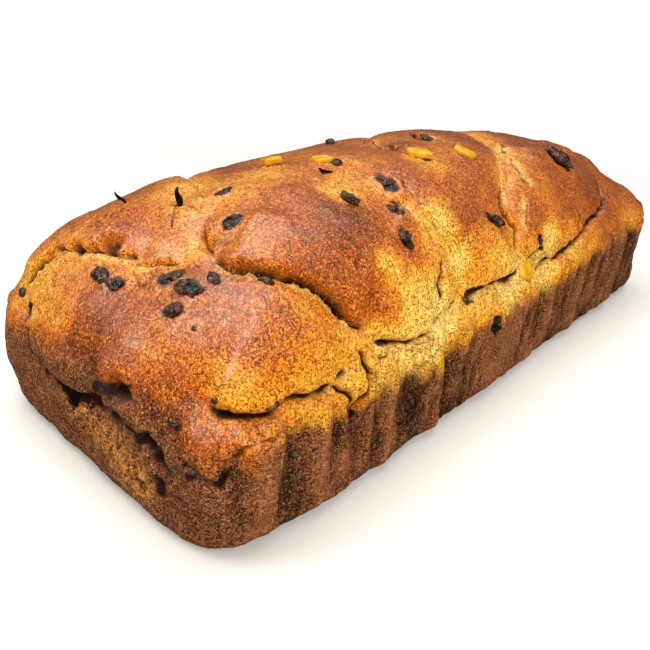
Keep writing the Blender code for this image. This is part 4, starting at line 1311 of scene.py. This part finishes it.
def makeCrumbs():
    look = crumbLook
    group = crumbScatterGroup()
    host = bpy.data.objects.new("crumbHost", loaf.data)
    scene.collection.objects.link(host)
    modifier = host.modifiers.new("crumbScatter", "NODES")
    modifier.node_group = group
    wanted = {
        "Per square mm": look["perSquareMm"],
        "Smallest mm": look["smallest"],
        "Largest mm": look["largest"],
        "Seed": look["seed"],
        "Material": makeCrumbMaterial(),
    }
    for socket in group.interface.items_tree:
        if socket.in_out == "INPUT" and socket.name in wanted:
            modifier[socket.identifier] = wanted[socket.name]
    bpy.context.view_layer.update()
    ready = host.evaluated_get(bpy.context.evaluated_depsgraph_get())
    mesh = bpy.data.meshes.new_from_object(ready)
    host.modifiers.remove(modifier)
    bpy.data.objects.remove(host)
    crumbs = bpy.data.objects.new("tornCrumbs", mesh)
    mesh.name = "tornCrumbs"
    scene.collection.objects.link(crumbs)
    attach(crumbs, "root")
    print("crumbs:", len(mesh.polygons), "faces")


makeCrumbs()

# smaller than a berry, so only here: middle, half sizes, heading in degrees and lift off the crust, in mm
smallRaisins = {
    "lipRaisin": ((-127, -30, 70), (2.6, 1.5, 1.0), -99, 0.2),
    "dotRaisin": ((-138, -36, 60), (0.9, 0.8, 0.6), 0, 0.2),
    "seamRaisin": ((-118, -40, 69), (2.2, 1.5, 1.2), -50, -0.2),
    "ridgeRaisin": ((-56, -8, 84), (2.4, 1.8, 1.2), 20, 0.3),
    "outlineRaisin": ((-31, 17, 84), (2.6, 1.8, 1.4), 40, 0.4),
    "cornerRaisin": ((-126, -60, 30), (1.6, 1.1, 2.0), 0, -0.1),
    "crackRaisin": ((-131, -57, 46), (2.1, 1.2, 1.0), 10, -0.5),
    "crackRaisinNear": ((-144, -48, 48), (1.2, 0.9, 0.9), 30, 0.0),
    "burntRaisin": ((-149, -41, 41), (1.6, 1.3, 1.2), 0, 0.0),
    "leftRaisin": ((-146, 45, 46), (2.2, 1.4, 1.2), 60, 0.2),
    "burntTop": ((6, -3, 85), (4.4, 1.5, 1.4), -60, -0.6),
    "stepRaisin": ((-41, -56, 47), (1.3, 1.0, 0.9), 0, 0.0),
}


littlePoints, littleFaces = unitBall(3)


def joinedPieces(name, pieces, material):
    # pieces made of little balls, as one object
    faces = np.concatenate([littleFaces + k * len(littlePoints) for k in range(len(pieces))])
    obj = meshObject(name, np.concatenate(pieces), faces, material)
    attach(obj, "root")


def smallRaisin(i, middle, half, heading, lift):
    spot, normal, first, second = frameAt(loafPoints, loafNormals, np.array(middle, float), heading)
    axes = np.array([first, second, normal])
    points = spot + normal * lift + littlePoints * np.array(half) @ axes
    return points + littlePoints @ axes * (0.3 * (raisinWrinkles(points, 900 + i, 1.3) - 0.6))[:, None]


little = [smallRaisin(i, *row) for i, row in enumerate(smallRaisins.values())]
joinedPieces("smallRaisins", little, raisinMaterial)

# thin dark shards of fruit skin standing out of the crust: foot, top, width and thickness in mm
shards = {
    "valleyShard": ((-115, -0.5, 78), (-114.4, 0.4, 83.4), 2.0, 0.7),
    "farShard": ((-119, 22, 75.5), (-121, 24.6, 78.6), 1.4, 0.6),
    "clusterTail": ((-64, -14, 83.5), (-70.5, -13, 85.2), 1.5, 0.9),
}


def shard(i, foot, top, width, thick):
    foot, top = np.array(foot, float), np.array(top, float)
    drop = loafPoints[np.argmin(((loafPoints - foot) ** 2).sum(1))] - foot
    length = np.linalg.norm(top - foot)
    axis = (top - foot) / length
    across = np.cross(axis, [0.72, 0.62, 0.3])
    across /= np.linalg.norm(across)
    third = np.cross(axis, across)
    t = littlePoints[:, 2]
    slim = 1 - 0.45 * smooth(-0.2, 1, t)
    points = (foot + top) / 2 + drop + np.outer(t, axis) * length * 0.55
    points += np.outer(littlePoints[:, 0] * slim, across) * width / 2
    points += np.outer(littlePoints[:, 1] * slim, third) * thick / 2
    points += np.outer(np.sin(t * 3 + i) * 0.35, across)
    return points + 0.22 * np.column_stack([latticeNoise(points, 1.2, 950 + 3 * i + k) for k in range(3)])


joinedPieces("fruitShards", [shard(i, *row) for i, row in enumerate(shards.values())], slabMaterial)
print("small fruit made")


# plain pale floor: its tone as it lights the loaf and as it is seen, where it fades, and half its side in m
floorLook = {"lit": (0.42, 0.42, 0.42, 1), "seen": (0.93, 0.93, 0.93, 1), "fade": (0.2, 0.55), "side": 6.0}


def makeFloor():
    material, tree, shader = newMaterial("paleFloor")
    look = floorLook
    seen = addNode(tree, "ShaderNodeLightPath").outputs["Is Camera Ray"]
    colour = blendColour(tree, seen, look["lit"], look["seen"])
    dress(tree, shader, {"Base Color": colour, "Roughness": 0.9, "Specular IOR Level": 0.0})
    away = addNode(tree, "ShaderNodeVectorMath", {0: objectPlace(tree)}, operation="LENGTH").outputs["Value"]
    glow = addNode(tree, "ShaderNodeEmission", {"Color": (1, 1, 1, 1), "Strength": 1.0}).outputs[0]
    share = Field(tree, away).spread(*look["fade"])
    mixed = addNode(tree, "ShaderNodeMixShader", {0: share, 1: shader.outputs[0], 2: glow}).outputs[0]
    plug(tree, mixed, tree.nodes["Material Output"].inputs["Surface"])
    mesh = bpy.data.meshes.new("studioFloor")
    side = look["side"]
    corners = [(-side, -side, 0), (side, -side, 0), (side, side, 0), (-side, side, 0)]
    mesh.from_pydata(corners, [], [(0, 1, 2, 3)])
    mesh.materials.append(material)
    floor = bpy.data.objects.new("studioFloor", mesh)
    floor.visible_glossy = False
    scene.collection.objects.link(floor)


makeFloor()

studio = {
    # place, length and width in m, power, turn in degrees, and whether the crust mirrors it
    "key": ((-0.06, 0.06, 0.80), (1.05, 0.75), 5.2, 27, True),
    "side": ((-0.25, -0.70, 0.50), (0.4, 0.4), 4.2, 0, False),
    "front": ((-0.80, 0.30, 0.62), (0.5, 0.5), 0.6, 0, False),
    "window": ((-0.80, 0.52, 0.74), (0.5, 0.4), 3.4, 0, True),
    "fill": ((-0.75, -0.25, 0.35), (0.6, 0.6), 0.5, 0, False),
    "tint": (1.0, 0.96, 0.87),
    "skyLight": 0.36,
    "skyMirrored": 0.05,
    "skySeen": 1.0,
}


def addSoftbox(name, place, size, power, turn, mirrored):
    light = bpy.data.lights.new(name, "AREA")
    light.shape, light.energy = "RECTANGLE", power
    light.size, light.size_y = size
    light.color = studio["tint"]
    obj = bpy.data.objects.new(name, light)
    obj.location = place
    obj.visible_glossy = mirrored
    aim = (Vector((-0.03, 0, 0.04)) - Vector(place)).to_track_quat("-Z", "Y").to_matrix()
    if turn:
        aim = Matrix.Identity(3)
    obj.rotation_euler = (aim @ Matrix.Rotation(math.radians(turn), 3, "Z")).to_euler()
    scene.collection.objects.link(obj)


for name in ("key", "side", "front", "window", "fill"):
    addSoftbox(name + "Softbox", *studio[name])


def makeSky():
    # the sky lights the loaf softly, is dim in its mirror and white to the camera
    world = bpy.data.worlds.new("studioSky")
    world.use_nodes = True
    scene.world = world
    tree = world.node_tree
    ray = addNode(tree, "ShaderNodeLightPath").outputs
    strength = studio["skyLight"]
    for label, other in (("Is Glossy Ray", studio["skyMirrored"]), ("Is Camera Ray", studio["skySeen"])):
        inputs = {"Value": ray[label], "To Min": strength, "To Max": other}
        strength = addNode(tree, "ShaderNodeMapRange", inputs).outputs[0]
    plug(tree, strength, tree.nodes["Background"].inputs["Strength"])
    plug(tree, (1, 1, 1, 1), tree.nodes["Background"].inputs["Color"])


makeSky()

# the camera looks down at the near end from its left
cameraLook = {
    "azimuth": -48.175,
    "elevation": 26.365,
    "roll": 3.441,
    "distance": 0.328894,
    "target": (-0.000007, 0.051379, -0.014126),
    "lens": 35.05,
    "shift": (0.0279, -0.0119),
}


def addCamera():
    look = cameraLook
    a, e, r = (math.radians(look[k]) for k in ("azimuth", "elevation", "roll"))
    back = Vector((math.sin(a) * math.cos(e), -math.cos(a) * math.cos(e), math.sin(e)))
    right = Vector((math.cos(a), math.sin(a), 0))
    up = back.cross(right)
    turnedRight = right * math.cos(r) + up * math.sin(r)
    turnedUp = up * math.cos(r) - right * math.sin(r)
    camera = bpy.data.cameras.new("studioCamera")
    camera.lens, camera.sensor_width = look["lens"], 36
    camera.shift_x, camera.shift_y = look["shift"]
    camera.clip_start = 0.01
    obj = bpy.data.objects.new("studioCamera", camera)
    place = Vector(look["target"]) + back * look["distance"]
    obj.matrix_world = Matrix((
        (turnedRight.x, turnedUp.x, back.x, place.x),
        (turnedRight.y, turnedUp.y, back.y, place.y),
        (turnedRight.z, turnedUp.z, back.z, place.z),
        (0, 0, 0, 1),
    ))
    scene.collection.objects.link(obj)
    scene.camera = obj


addCamera()
scene.view_settings.view_transform = "Standard"

bpy.context.view_layer.update()
